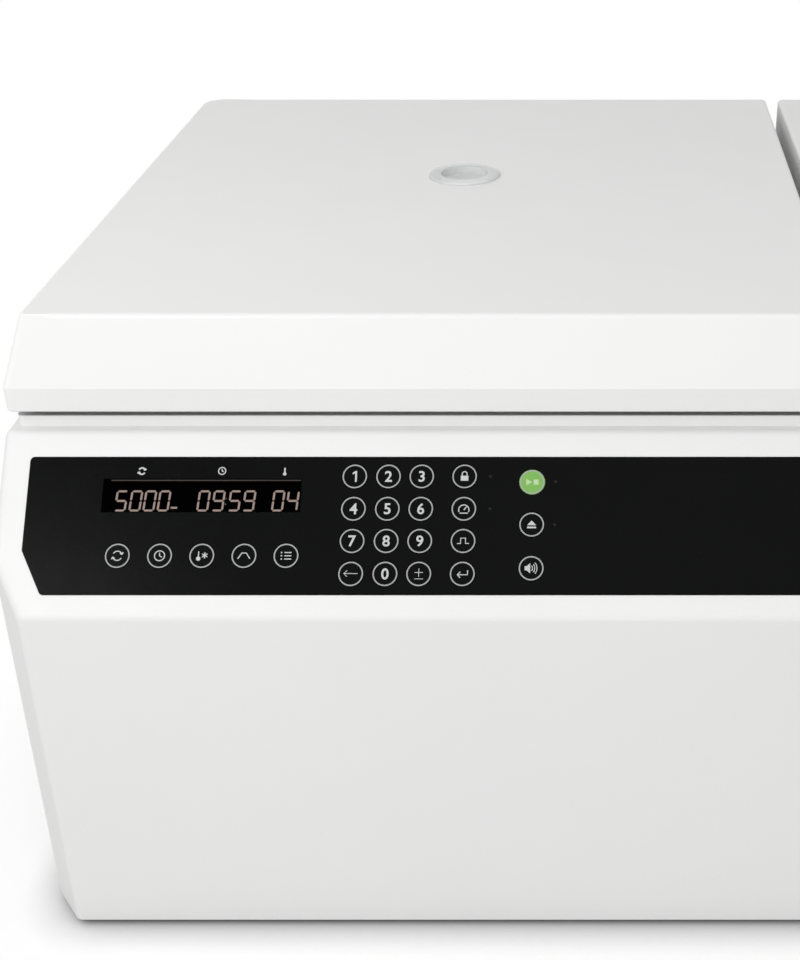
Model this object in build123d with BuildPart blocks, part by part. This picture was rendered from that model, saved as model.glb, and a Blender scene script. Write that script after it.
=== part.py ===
from build123d import *
import os
from math import cos, radians, sin

# A refrigerated bench centrifuge, in millimetres. The origin is on the bench under the
# middle of the cabinet, +X is the operator's right, +Y is the back and +Z is up.

os.makedirs("parts", exist_ok=True)

# Cabinet
WIDTH = 704.0
DEPTH = 604.0
FOOT_GAP = 5.0
WALL = 3.0
CUT_PAST = 1.0
HALF = WIDTH / 2
FRONT_Y = -DEPTH / 2
BACK_Y = DEPTH / 2
REAR_FACE_Y = BACK_Y - 4.0
REAR_INNER_Y = REAR_FACE_Y - WALL
CORNER_X = 19.0
CORNER_Y = 26.0
EDGE_ROUND = 6.0
LEAN = 43.0
PANEL_LENGTH = 111.5
CREASE_Z = FOOT_GAP + 225.7
SHOULDER_Z = CREASE_Z + PANEL_LENGTH * cos(radians(LEAN))
PANEL_TOP_Y = FRONT_Y + PANEL_LENGTH * sin(radians(LEAN))
PANEL = Plane(
    origin=(0, FRONT_Y, CREASE_Z),
    x_dir=(1, 0, 0),
    z_dir=(0, -cos(radians(LEAN)), sin(radians(LEAN))),
)
BODY_OUTLINE = [
    (-HALF, BACK_Y),
    (-HALF, FRONT_Y + CORNER_Y),
    (-HALF + CORNER_X, FRONT_Y),
    (HALF - CORNER_X, FRONT_Y),
    (HALF, FRONT_Y + CORNER_Y),
    (HALF, BACK_Y),
]

# Neck of the deck, which the lid and the cover stand over
NECK_X = 345.5
NECK_FRONT_Y = PANEL_TOP_Y + 6.5
NECK_BACK_Y = 283.0
DECK_Z = 319.0
RIM_FRONT_Y = NECK_FRONT_Y + 11.0
RIM_X = 341.5
RIM_BACK_Y = 265.0

# Lid and compressor cover
SKIRT_BOTTOM_Z = 324.0
SKIRT_TOP_Z = 339.0
TOP_Z = 380.0
SKIRT_X = 348.5
LID_FRONT_Y = PANEL_TOP_Y
LID_BACK_Y = 287.0
LID_RIGHT_X = 137.0
COVER_LEFT_X = 147.0
SIDE_BEVEL = 12.2
FRONT_BEVEL = 13.5
BACK_BEVEL = 9.0
FRONT_CORNER = 4.0
BACK_CORNER = 15.0
TOP_ROUND = 3.0
LOW_ROUND = 1.5

# Rotor chamber
AXIS_X = -101.0
AXIS_Y = 58.0
CHAMBER_R = 185.0
BOWL_WALL = 1.5
CHAMBER_FLOOR_Z = 126.5
BOWL_CORNER = 25.0
BOWL_RIM_R = 206.0
DECK_HOLE_R = 192.0
CHAMBER_AXIS = Plane((AXIS_X, AXIS_Y, 0))
GUARD_R = 217.0
GUARD_WALL = 4.0
GUARD_TOP_Z = 304.0
COIL_R = 191.8
COIL_HALF = 4.5
COIL_TURNS = 6
COIL_PITCH = 24.0

# Drive
MOTOR_R = 70.0
MOTOR_TOP_Z = 112.0
SHAFT_R = 10.0
SHAFT_CLEARANCE = 0.06
PIVOT_Z = 235.0
PIVOT_R = 93.0
BUCKET_R = 34.0
BUCKET_DEPTH = 82.0
BUCKET_RIM = 12.0
LUG_FACE = 40.5
ARM_FACE = 41.0
PIN_R = 5.0
PIN_CLEARANCE = 0.08
BUCKET_COUNT = 4

# Lid hinge, gas spring and lock
HINGE_Y = 295.0
HINGE_Z = 331.0
HINGE_X = (-262.0, 60.0)
KNUCKLE_R = 6.0
KNUCKLE_W = 20.0
HINGE_PIN_R = 3.5
LINER_Z = 326.0
LINER_X = (-318.0, 112.0)
SPRING_X = -331.0
SPRING_TOP = (205.0, 331.0)
SPRING_FOOT = (269.1, 234.4)
SPRING_TUBE_R = 9.0
SPRING_ROD_R = 4.0
LOCK_Y = -190.0
STRIKER_BAR_Z = 294.0
STRIKER_BAR_R = 3.0
HOOK_PIVOT = (-206.0, 268.0)
HOOK_SWING = 22.0

# Keys and control panel
OVERLAY_THICK = 1.0
OVERLAY_SINK = 0.6
KEY_R = 7.4
KEY_GAP = 0.3
KEY_TRAVEL = 0.5
KEY_THICK = 2.0
DIGIT_COLUMNS = (-144.8, -125.2, -105.9)
DIGIT_ROWS = (83.6, 64.2, 45.1, 25.8)
FUNCTION_COLUMN = -81.0
COMMAND_COLUMN = -41.7
SETTING_ROW = 36.4
SETTING_COLUMNS = (-279.0, -254.8, -230.6, -206.4, -182.3)
DISPLAY_X = (-290.6, -175.3)
DISPLAY_T = (62.0, 82.2)
DIGIT_NAMES = (("1", "2", "3"), ("4", "5", "6"), ("7", "8", "9"), ("back", "0", "sign"))
FUNCTION_NAMES = ("lock", "set_speed", "pulse", "enter")
SETTING_NAMES = ("speed", "time", "temperature", "ramp", "program")
COMMAND_ROWS = {"start_stop": 80.2, "open": 54.8, "sound": 29.1}

KEYS = {}
for row, names in zip(DIGIT_ROWS, DIGIT_NAMES):
    for column, name in zip(DIGIT_COLUMNS, names):
        KEYS[f"key_{name}"] = (column, row)
for row, name in zip(DIGIT_ROWS, FUNCTION_NAMES):
    KEYS[f"key_{name}"] = (FUNCTION_COLUMN, row)
for name, row in COMMAND_ROWS.items():
    KEYS[f"key_{name}"] = (COMMAND_COLUMN, row)
for column, name in zip(SETTING_COLUMNS, SETTING_NAMES):
    KEYS[f"key_{name}"] = (column, SETTING_ROW)


def box_between(low, high, mode=Mode.ADD):
    """A block from one corner to the opposite one."""
    centre = tuple((a + b) / 2 for a, b in zip(low, high))
    size = [b - a for a, b in zip(low, high)]
    with Locations(centre):
        return Box(*size, mode=mode)


def body_plan(inset, height):
    """The cabinet's outline seen from above, moved inwards by inset."""
    with BuildSketch(Plane.XY.offset(height)) as plan:
        with BuildLine():
            Polyline(*BODY_OUTLINE, close=True)
        make_face()
        if inset:
            offset(amount=-inset, kind=Kind.INTERSECTION, mode=Mode.REPLACE)
    return plan.sketch


def body_block(inset):
    """The cabinet's solid form with its sloping front, moved inwards by inset."""
    with BuildPart() as block:
        extrude(body_plan(inset, FOOT_GAP), amount=SHOULDER_Z - inset - FOOT_GAP)
        with BuildSketch(PANEL.offset(-inset)):
            Rectangle(2 * WIDTH, 4 * PANEL_LENGTH)
        extrude(amount=4 * PANEL_LENGTH, mode=Mode.SUBTRACT)
    return block.part


def hood_plan(x_low, x_high, y_low, y_high, height, round_left, round_right):
    """A rectangle with small front corners and large back ones, seen from above."""
    with BuildSketch(Plane.XY.offset(height)) as plan:
        with Locations(((x_low + x_high) / 2, (y_low + y_high) / 2)):
            Rectangle(x_high - x_low, y_high - y_low)
        fillet(plan.vertices().group_by(Axis.Y)[0], FRONT_CORNER)
        fillet(plan.vertices().group_by(Axis.Y)[-1].sort_by(Axis.X)[0], round_left)
        fillet(plan.vertices().group_by(Axis.Y)[-1].sort_by(Axis.X)[-1], round_right)
    return plan.sketch


def hood(x_low, x_high, bevel_left, bevel_right, inset):
    """The lid's or the cover's form: an upright skirt under a bevelled top."""
    low_x = x_low + inset
    high_x = x_high - inset
    low_y = LID_FRONT_Y + inset
    high_y = LID_BACK_Y - inset
    round_left = BACK_CORNER if bevel_left else FRONT_CORNER
    round_right = BACK_CORNER if bevel_right else FRONT_CORNER
    skirt = hood_plan(low_x, high_x, low_y, high_y, SKIRT_BOTTOM_Z, round_left, round_right)
    crease = hood_plan(low_x, high_x, low_y, high_y, SKIRT_TOP_Z, round_left, round_right)
    top = hood_plan(
        low_x + bevel_left,
        high_x - bevel_right,
        low_y + FRONT_BEVEL,
        high_y - BACK_BEVEL,
        TOP_Z - inset,
        round_left,
        round_right,
    )
    with BuildPart() as form:
        extrude(skirt, amount=SKIRT_TOP_Z - SKIRT_BOTTOM_Z)
        loft([crease.face(), top.face()], ruled=True)
    return form.part


def rounded_hood(x_low, x_high, bevel_left, bevel_right):
    """The outside of the lid or the cover, with its edges rounded."""
    with BuildPart() as form:
        add(hood(x_low, x_high, bevel_left, bevel_right, 0))
        fillet(form.edges().group_by(Axis.Z)[-1], TOP_ROUND)
        fillet(form.edges().group_by(Axis.Z)[0], LOW_ROUND)
    return form.part


# Chassis: base pan with the guard ring, bulkhead, hinge posts and gas spring stud welded on
PAN_THICK = 2.0
PAN_FLANGE = 22.0
BULKHEAD_X = 140.0
BULKHEAD_FRONT_Y = FRONT_Y + 8.0
POST_W = 30.0
POST_D = 14.0
FOOT_PLACES = [(-290, -245), (290, -245), (-290, 260), (290, 260)]
FOOT_STUD_R = 5.0
FOOT_STUD_FIT = 0.1
STRUT_THICK = 5.0
STRUT_HALF = 12.0
STRUT_PIN_R = 2.5
STRUT_PIN_PAST = 6.0
BULKHEAD_STEP = 8.0

with BuildPart() as chassis:
    extrude(body_plan(WALL, FOOT_GAP), amount=PAN_FLANGE)
    extrude(body_plan(WALL + PAN_THICK, FOOT_GAP + PAN_THICK), amount=PAN_FLANGE, mode=Mode.SUBTRACT)
    box_between(
        (-HALF, REAR_INNER_Y, FOOT_GAP - CUT_PAST),
        (HALF, BACK_Y + CUT_PAST, SHOULDER_Z),
        mode=Mode.SUBTRACT,
    )
    with BuildSketch(CHAMBER_AXIS.offset(FOOT_GAP + PAN_THICK)):
        Circle(GUARD_R)
        Circle(GUARD_R - GUARD_WALL, mode=Mode.SUBTRACT)
    extrude(amount=GUARD_TOP_Z - FOOT_GAP - PAN_THICK)
    with BuildSketch(Plane.YZ.offset(BULKHEAD_X)):
        with BuildLine():
            Polyline(
                (BULKHEAD_FRONT_Y, FOOT_GAP + PAN_THICK),
                (BULKHEAD_FRONT_Y, CREASE_Z - BULKHEAD_STEP),
                (PANEL_TOP_Y, GUARD_TOP_Z),
                (REAR_INNER_Y, GUARD_TOP_Z),
                (REAR_INNER_Y, FOOT_GAP + PAN_THICK),
                close=True,
            )
        make_face()
    extrude(amount=PAN_THICK)
    for x in HINGE_X:
        box_between(
            (x - POST_W / 2, REAR_INNER_Y - POST_D, FOOT_GAP + PAN_THICK),
            (x + POST_W / 2, REAR_INNER_Y, SHOULDER_Z - WALL),
        )
    box_between(
        (-HALF + WALL, SPRING_FOOT[0] - STRUT_HALF, FOOT_GAP + PAN_THICK),
        (-HALF + WALL + STRUT_THICK, SPRING_FOOT[0] + STRUT_HALF, SPRING_FOOT[1] + STRUT_HALF),
    )
    with BuildSketch(Plane.YZ.offset(-HALF + WALL + STRUT_THICK)):
        with Locations(SPRING_FOOT):
            Circle(STRUT_PIN_R)
    extrude(amount=SPRING_X + STRUT_PIN_PAST + HALF - WALL - STRUT_THICK)
    with Locations([(x, y, FOOT_GAP) for x, y in FOOT_PLACES]):
        Cylinder(FOOT_STUD_R + FOOT_STUD_FIT, 4 * PAN_THICK, mode=Mode.SUBTRACT)
chassis.part.label = "chassis"
export_step(chassis.part, "parts/chassis.step")

# Rubber feet
FOOT_R = 18.0
FOOT_TAPER = 6
STUD_PAST = 3.0

with BuildPart() as rubber_feet:
    with BuildSketch(Plane.XY):
        with Locations(FOOT_PLACES):
            Circle(FOOT_R)
    extrude(amount=FOOT_GAP, taper=-FOOT_TAPER)
    with BuildSketch(Plane.XY.offset(FOOT_GAP)):
        with Locations(FOOT_PLACES):
            Circle(FOOT_STUD_R)
    extrude(amount=PAN_THICK + STUD_PAST)
rubber_feet.part.label = "rubber_feet"
export_step(rubber_feet.part, "parts/rubber_feet.step")

# Cabinet shell: front, sloping control face, sides and rim, in one moulding
APERTURE_X = (-308.0, -24.0)
APERTURE_T = (17.0, 92.5)
OVERLAY_CORNERS = [
    (-334.2, 95.4),
    (334.2, 95.4),
    (334.1, 39.5),
    (321.3, 13.6),
    (-321.3, 13.6),
    (-334.1, 39.5),
]
OVERLAY_ROUND = 2.5
OVERLAY_FIT = 0.2
SIDE_SLOT_COUNT = 13
SIDE_SLOT_PITCH = 15.0
SIDE_SLOT_W = 6.0
SIDE_SLOT_H = 150.0
CONDENSER_Y = -120.0
CONDENSER_Z = 135.0


def overlay_plan(grow, lift):
    """The overlay's outline on the sloping face, grown by grow and lifted by lift."""
    with BuildSketch(PANEL.offset(lift)) as plan:
        with BuildLine():
            Polyline(*OVERLAY_CORNERS, close=True)
        make_face()
        fillet(plan.vertices(), OVERLAY_ROUND)
        if grow:
            offset(amount=grow, mode=Mode.REPLACE)
    return plan.sketch


with BuildPart() as cabinet_shell:
    add(body_block(0))
    outer_edges = cabinet_shell.edges().filter_by(
        lambda e: e.center().Z > FOOT_GAP + CUT_PAST and e.center().Y < BACK_Y - CUT_PAST
    )
    fillet(outer_edges, EDGE_ROUND)
    add(body_block(WALL), mode=Mode.SUBTRACT)
    box_between(
        (-HALF + WALL, BACK_Y - 2 * WALL, FOOT_GAP - CUT_PAST),
        (HALF - WALL, BACK_Y + CUT_PAST, SHOULDER_Z + CUT_PAST),
        mode=Mode.SUBTRACT,
    )
    box_between(
        (-RIM_X, RIM_FRONT_Y, SHOULDER_Z - 2 * WALL),
        (RIM_X, BACK_Y + CUT_PAST, SHOULDER_Z + CUT_PAST),
        mode=Mode.SUBTRACT,
    )
    extrude(overlay_plan(OVERLAY_FIT, -OVERLAY_SINK), amount=2 * WALL, mode=Mode.SUBTRACT)
    with BuildSketch(PANEL.offset(-2 * WALL)):
        with Locations((sum(APERTURE_X) / 2, sum(APERTURE_T) / 2)):
            Rectangle(APERTURE_X[1] - APERTURE_X[0], APERTURE_T[1] - APERTURE_T[0])
    extrude(amount=4 * WALL, mode=Mode.SUBTRACT)
    with BuildSketch(Plane.YZ.offset(HALF - 2 * WALL)):
        with Locations((CONDENSER_Y, CONDENSER_Z)):
            with GridLocations(SIDE_SLOT_PITCH, 1, SIDE_SLOT_COUNT, 1):
                SlotOverall(SIDE_SLOT_H, SIDE_SLOT_W, rotation=90)
    extrude(amount=4 * WALL, mode=Mode.SUBTRACT)
cabinet_shell.part.label = "cabinet_shell"
export_step(cabinet_shell.part, "parts/cabinet_shell.step")

# Rear panel: recessed plate with a wide top flange that carries the hinges
INLET_X = -230.0
MODULE_W = 44.0
MODULE_Z = (40.0, 122.0)
BODY_W = 34.0
BODY_Z = (46.0, 118.0)
SPRING_SLOT_X = (-RIM_X, -320.5)
SPRING_SLOT_Y = (196.0, 285.0)
REAR_SLOT_X = 245.0
REAR_SLOT_Z = 130.0
REAR_SLOT_COUNT = 12
REAR_SLOT_PITCH = 14.0
REAR_SLOT = (130.0, 6.0)

with BuildPart() as rear_panel:
    box_between(
        (-HALF + WALL, REAR_INNER_Y, FOOT_GAP),
        (HALF - WALL, REAR_FACE_Y, SHOULDER_Z - WALL),
    )
    box_between((-RIM_X, RIM_BACK_Y, SHOULDER_Z - WALL), (RIM_X, BACK_Y, SHOULDER_Z))
    box_between(
        (SPRING_SLOT_X[0] - CUT_PAST, RIM_BACK_Y - CUT_PAST, SHOULDER_Z - 2 * WALL),
        (SPRING_SLOT_X[1], SPRING_SLOT_Y[1], SHOULDER_Z + CUT_PAST),
        mode=Mode.SUBTRACT,
    )
    box_between(
        (INLET_X - BODY_W / 2, REAR_INNER_Y - CUT_PAST, BODY_Z[0]),
        (INLET_X + BODY_W / 2, REAR_FACE_Y + CUT_PAST, BODY_Z[1]),
        mode=Mode.SUBTRACT,
    )
    with BuildSketch(Plane.XZ.offset(-BACK_Y)):
        with Locations((REAR_SLOT_X, REAR_SLOT_Z)):
            with GridLocations(1, REAR_SLOT_PITCH, 1, REAR_SLOT_COUNT):
                SlotOverall(*REAR_SLOT)
    extrude(amount=4 * WALL, mode=Mode.SUBTRACT)
rear_panel.part.label = "rear_panel"
export_step(rear_panel.part, "parts/rear_panel.step")

# Deck: neck and plate round the chamber mouth
DECK_ROUND = 4.0
LOCK_SLOT = (36.0, 30.0)
SERVICE_HOLE = ((170.0, -190.0), (325.0, 250.0))

with BuildPart() as top_deck:
    box_between((-NECK_X, NECK_FRONT_Y, SHOULDER_Z), (NECK_X, NECK_BACK_Y, DECK_Z))
    fillet(top_deck.edges().filter_by(Axis.Z), DECK_ROUND)
    box_between(
        (-NECK_X + WALL, NECK_FRONT_Y + WALL, SHOULDER_Z - CUT_PAST),
        (NECK_X - WALL, NECK_BACK_Y - WALL, DECK_Z - WALL),
        mode=Mode.SUBTRACT,
    )
    with Locations((AXIS_X, AXIS_Y, DECK_Z)):
        Cylinder(DECK_HOLE_R, 4 * WALL, mode=Mode.SUBTRACT)
    box_between(
        (SPRING_SLOT_X[0], SPRING_SLOT_Y[0], SHOULDER_Z),
        (SPRING_SLOT_X[1], NECK_BACK_Y - WALL, DECK_Z + CUT_PAST),
        mode=Mode.SUBTRACT,
    )
    box_between(
        (AXIS_X - LOCK_SLOT[0] / 2, LOCK_Y - LOCK_SLOT[1] / 2, SHOULDER_Z),
        (AXIS_X + LOCK_SLOT[0] / 2, LOCK_Y + LOCK_SLOT[1] / 2, DECK_Z + CUT_PAST),
        mode=Mode.SUBTRACT,
    )
    box_between(
        (*SERVICE_HOLE[0], SHOULDER_Z),
        (*SERVICE_HOLE[1], DECK_Z + CUT_PAST),
        mode=Mode.SUBTRACT,
    )
top_deck.part.label = "top_deck"
export_step(top_deck.part, "parts/top_deck.step")

# Compressor cover: fixed hood to the right of the lid
COVER_BOSS_R = 7.0
COVER_BOSS_X = (158.0, 334.0)
COVER_BOSS_Y = (-205.0, 40.0, 270.0)
COVER_BOSSES = [(x, y) for x in COVER_BOSS_X for y in COVER_BOSS_Y]

with BuildPart() as compressor_cover:
    add(rounded_hood(COVER_LEFT_X, SKIRT_X, 0, SIDE_BEVEL))
    add(hood(COVER_LEFT_X, SKIRT_X, 0, SIDE_BEVEL, WALL), mode=Mode.SUBTRACT)
    with BuildSketch(Plane.XY.offset(DECK_Z)):
        with Locations(COVER_BOSSES):
            Circle(COVER_BOSS_R)
    extrude(amount=SKIRT_TOP_Z - DECK_Z)
    with BuildSketch(Plane.XY.offset(SKIRT_TOP_Z)):
        with Locations(COVER_BOSSES):
            Circle(COVER_BOSS_R)
    extrude(until=Until.NEXT)
compressor_cover.part.label = "compressor_cover"
export_step(compressor_cover.part, "parts/compressor_cover.step")

# Control overlay: thin sheet in the sunk face, holed for the keys and the display
OVERLAY_FACE = OVERLAY_THICK - OVERLAY_SINK
DISPLAY_MIDDLE = (sum(DISPLAY_X) / 2, sum(DISPLAY_T) / 2)
DISPLAY_SIZE = (DISPLAY_X[1] - DISPLAY_X[0], DISPLAY_T[1] - DISPLAY_T[0])

with BuildPart() as control_overlay:
    extrude(overlay_plan(0, -OVERLAY_SINK), amount=OVERLAY_THICK)
    with BuildSketch(PANEL.offset(-2 * OVERLAY_THICK)):
        with Locations(list(KEYS.values())):
            Circle(KEY_R + KEY_GAP)
        with Locations(DISPLAY_MIDDLE):
            Rectangle(*DISPLAY_SIZE)
    extrude(amount=4 * OVERLAY_THICK, mode=Mode.SUBTRACT)
control_overlay.part.label = "control_overlay"
export_step(control_overlay.part, "parts/control_overlay.step")

# Keys: round caps flush with the overlay, held from behind by a thin flange
KEY_FLANGE_R = 8.3
KEY_FLANGE_THICK = 0.7
KEY_BACK = OVERLAY_FACE - KEY_THICK

for label, place in KEYS.items():
    with BuildPart() as key:
        with BuildSketch(PANEL.offset(KEY_BACK)):
            with Locations(place):
                Circle(KEY_FLANGE_R)
        extrude(amount=KEY_FLANGE_THICK)
        with BuildSketch(PANEL.offset(KEY_BACK)):
            with Locations(place):
                Circle(KEY_R)
        extrude(amount=KEY_THICK)
    key.part.label = label
    export_step(key.part, f"parts/{label}.step")

# Control board: circuit board with a switch stem under each key, and the display
BOARD_X = (-315.0, -17.0)
BOARD_T = (10.0, 99.0)
BOARD_THICK = 1.6
BOARD_FACE = -7.0
STEM_R = 2.5
SPACER_R = 3.0
SPACER_INSET = 3.5
DISPLAY_GAP = 0.3

with BuildPart() as control_board:
    with BuildSketch(PANEL.offset(BOARD_FACE - BOARD_THICK)):
        with Locations((sum(BOARD_X) / 2, sum(BOARD_T) / 2)):
            Rectangle(BOARD_X[1] - BOARD_X[0], BOARD_T[1] - BOARD_T[0])
    extrude(amount=BOARD_THICK)
    with BuildSketch(PANEL.offset(BOARD_FACE)):
        with Locations(list(KEYS.values())):
            Circle(STEM_R)
    extrude(amount=KEY_BACK - KEY_TRAVEL - DISPLAY_GAP - BOARD_FACE)
    with BuildSketch(PANEL.offset(BOARD_FACE)):
        with Locations(DISPLAY_MIDDLE):
            Rectangle(DISPLAY_SIZE[0] - 2 * DISPLAY_GAP, DISPLAY_SIZE[1] - 2 * DISPLAY_GAP)
    extrude(amount=OVERLAY_FACE - DISPLAY_GAP - BOARD_FACE)
    with BuildSketch(PANEL.offset(BOARD_FACE)):
        for x in (BOARD_X[0] + SPACER_INSET, BOARD_X[1] - SPACER_INSET):
            for t in (BOARD_T[0] + SPACER_INSET, BOARD_T[1] - SPACER_INSET):
                with Locations((x, t)):
                    Circle(SPACER_R)
    extrude(amount=-WALL - BOARD_FACE)
control_board.part.label = "control_board"
export_step(control_board.part, "parts/control_board.step")

# Drive electronics: board on spacers with its heat sink, capacitors and choke
POWER_X = (-290.0, -60.0)
POWER_Y = (-285.0, -185.0)
POWER_Z = 17.0
POWER_SPACER_INSET = 6.0
POWER_SPACER_R = 4.0
SINK_LOW = (-280.0, -275.0)
SINK_SIZE = 80.0
SINK_BASE_H = 10.0
SINK_FINS = 9
SINK_PITCH = 9.0
SINK_FIN = (3.0, 78.0)
SINK_FIN_H = 28.0
CAPACITOR_PLACES = [(-165, -255), (-125, -255), (-165, -215)]
CAPACITOR_R = 15.0
CAPACITOR_H = 42.0
CHOKE_LOW = (-140.0, -235.0)
CHOKE_SIZE = 40.0
CHOKE_H = 34.0

with BuildPart() as power_board:
    box_between(
        (POWER_X[0], POWER_Y[0], POWER_Z),
        (POWER_X[1], POWER_Y[1], POWER_Z + BOARD_THICK),
    )
    with BuildSketch(Plane.XY.offset(FOOT_GAP + PAN_THICK)):
        for x in (POWER_X[0] + POWER_SPACER_INSET, POWER_X[1] - POWER_SPACER_INSET):
            for y in (POWER_Y[0] + POWER_SPACER_INSET, POWER_Y[1] - POWER_SPACER_INSET):
                with Locations((x, y)):
                    Circle(POWER_SPACER_R)
    extrude(amount=POWER_Z - FOOT_GAP - PAN_THICK)
    box_between(
        (*SINK_LOW, POWER_Z),
        (SINK_LOW[0] + SINK_SIZE, SINK_LOW[1] + SINK_SIZE, POWER_Z + SINK_BASE_H),
    )
    with BuildSketch(Plane.XY.offset(POWER_Z + SINK_BASE_H)):
        with Locations((SINK_LOW[0] + SINK_SIZE / 2, SINK_LOW[1] + SINK_SIZE / 2)):
            with GridLocations(SINK_PITCH, 1, SINK_FINS, 1):
                Rectangle(*SINK_FIN)
    extrude(amount=SINK_FIN_H)
    with BuildSketch(Plane.XY.offset(POWER_Z + BOARD_THICK)):
        with Locations(CAPACITOR_PLACES):
            Circle(CAPACITOR_R)
    extrude(amount=CAPACITOR_H)
    box_between(
        (*CHOKE_LOW, POWER_Z),
        (CHOKE_LOW[0] + CHOKE_SIZE, CHOKE_LOW[1] + CHOKE_SIZE, POWER_Z + CHOKE_H),
    )
power_board.part.label = "power_board"
export_step(power_board.part, "parts/power_board.step")


def round_cup(axis_plane, radius, low, high, corner):
    """An upright cylinder whose lower edge is rounded."""
    with BuildPart() as cup:
        with BuildSketch(axis_plane.offset(low)):
            Circle(radius)
        extrude(amount=high - low)
        fillet(cup.edges().filter_by(GeomType.CIRCLE).sort_by(Axis.Z)[0], corner)
    return cup.part


# Rotor bowl: seamless steel tub with a flat rim on the deck
MOTOR_NECK_R = 28.0
MOTOR_NECK_TOP_Z = 130.0
BOWL_HOLE_R = 28.5
BOWL_HOLE_DEPTH = 10.0
BOWL_BOTTOM_Z = CHAMBER_FLOOR_Z - BOWL_WALL

with BuildPart() as rotor_bowl:
    add(
        round_cup(
            CHAMBER_AXIS,
            CHAMBER_R + BOWL_WALL,
            BOWL_BOTTOM_Z,
            DECK_Z + BOWL_WALL,
            BOWL_CORNER + BOWL_WALL,
        )
    )
    with BuildSketch(CHAMBER_AXIS.offset(DECK_Z)):
        Circle(BOWL_RIM_R)
    extrude(amount=BOWL_WALL)
    add(
        round_cup(CHAMBER_AXIS, CHAMBER_R, CHAMBER_FLOOR_Z, DECK_Z + 2 * BOWL_WALL, BOWL_CORNER),
        mode=Mode.SUBTRACT,
    )
    with Locations((AXIS_X, AXIS_Y, CHAMBER_FLOOR_Z)):
        Cylinder(BOWL_HOLE_R, BOWL_HOLE_DEPTH, mode=Mode.SUBTRACT)
rotor_bowl.part.label = "rotor_bowl"
export_step(rotor_bowl.part, "parts/rotor_bowl.step")

# Foam insulation between the bowl's cooling coil and the guard ring
FOAM_GAP = 0.5
FOAM_BOTTOM_Z = MOTOR_TOP_Z + FOAM_GAP
FOAM_HOLE_R = 32.0
FOAM_HOLE_DEPTH = 60.0
FOAM_TOP_Z = 292.0
FOAM_INNER_R = COIL_R + COIL_HALF + FOAM_GAP

with BuildPart() as bowl_insulation:
    with BuildSketch(CHAMBER_AXIS.offset(FOAM_BOTTOM_Z)):
        Circle(GUARD_R - GUARD_WALL)
    extrude(amount=FOAM_TOP_Z - FOAM_BOTTOM_Z)
    add(
        round_cup(CHAMBER_AXIS, FOAM_INNER_R, BOWL_BOTTOM_Z, GUARD_TOP_Z, BOWL_CORNER),
        mode=Mode.SUBTRACT,
    )
    with Locations((AXIS_X, AXIS_Y, BOWL_BOTTOM_Z)):
        Cylinder(FOAM_HOLE_R, FOAM_HOLE_DEPTH, mode=Mode.SUBTRACT)
bowl_insulation.part.label = "bowl_insulation"
export_step(bowl_insulation.part, "parts/bowl_insulation.step")

# Rubber seal on the bowl's rim
SEAL_INNER_R = 191.0
SEAL_OUTER_R = 203.0
SEAL_GAP = 0.4
SEAL_ROUND = 1.5

with BuildPart() as chamber_seal:
    with BuildSketch(CHAMBER_AXIS.offset(DECK_Z + BOWL_WALL)):
        Circle(SEAL_OUTER_R)
        Circle(SEAL_INNER_R, mode=Mode.SUBTRACT)
    extrude(amount=LINER_Z - SEAL_GAP - DECK_Z - BOWL_WALL)
    fillet(chamber_seal.edges().group_by(Axis.Z)[-1], SEAL_ROUND)
chamber_seal.part.label = "chamber_seal"
export_step(chamber_seal.part, "parts/chamber_seal.step")

# Drive motor: foot flange, ribbed can and neck through the bowl's floor
MOTOR_FLANGE_R = 84.0
MOTOR_FLANGE_H = 8.0
MOTOR_RIBS = 24
MOTOR_RIB_R = MOTOR_R - 6.0
MOTOR_RIB = (12.0, 5.0)
MOTOR_CAP_H = 12.0
SHAFT_FOOT_Z = 60.0

with BuildPart() as drive_motor:
    with BuildSketch(CHAMBER_AXIS.offset(FOOT_GAP + PAN_THICK)):
        Circle(MOTOR_FLANGE_R)
    extrude(amount=MOTOR_FLANGE_H)
    with BuildSketch(CHAMBER_AXIS.offset(FOOT_GAP + PAN_THICK)):
        Circle(MOTOR_RIB_R)
        with PolarLocations(MOTOR_RIB_R, MOTOR_RIBS):
            Rectangle(*MOTOR_RIB)
    extrude(amount=MOTOR_TOP_Z - MOTOR_CAP_H - FOOT_GAP - PAN_THICK)
    with BuildSketch(CHAMBER_AXIS.offset(MOTOR_TOP_Z - MOTOR_CAP_H)):
        Circle(MOTOR_R)
    extrude(amount=MOTOR_CAP_H)
    with BuildSketch(CHAMBER_AXIS.offset(MOTOR_TOP_Z)):
        Circle(MOTOR_NECK_R)
    extrude(amount=MOTOR_NECK_TOP_Z - MOTOR_TOP_Z)
    with BuildSketch(CHAMBER_AXIS.offset(SHAFT_FOOT_Z - CUT_PAST)):
        Circle(SHAFT_R + SHAFT_CLEARANCE)
    extrude(amount=MOTOR_NECK_TOP_Z, mode=Mode.SUBTRACT)
drive_motor.part.label = "drive_motor"
export_step(drive_motor.part, "parts/drive_motor.step")

# Drive shaft with the bolt that holds the rotor down
HUB_TOP_Z = 262.0
BOLT_R = 16.0
BOLT_H = 12.0
BOLT_FLUTES = 6
BOLT_FLUTE_R = 5.0
BOLT_FLUTE_AT = BOLT_R + 2.0

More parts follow.
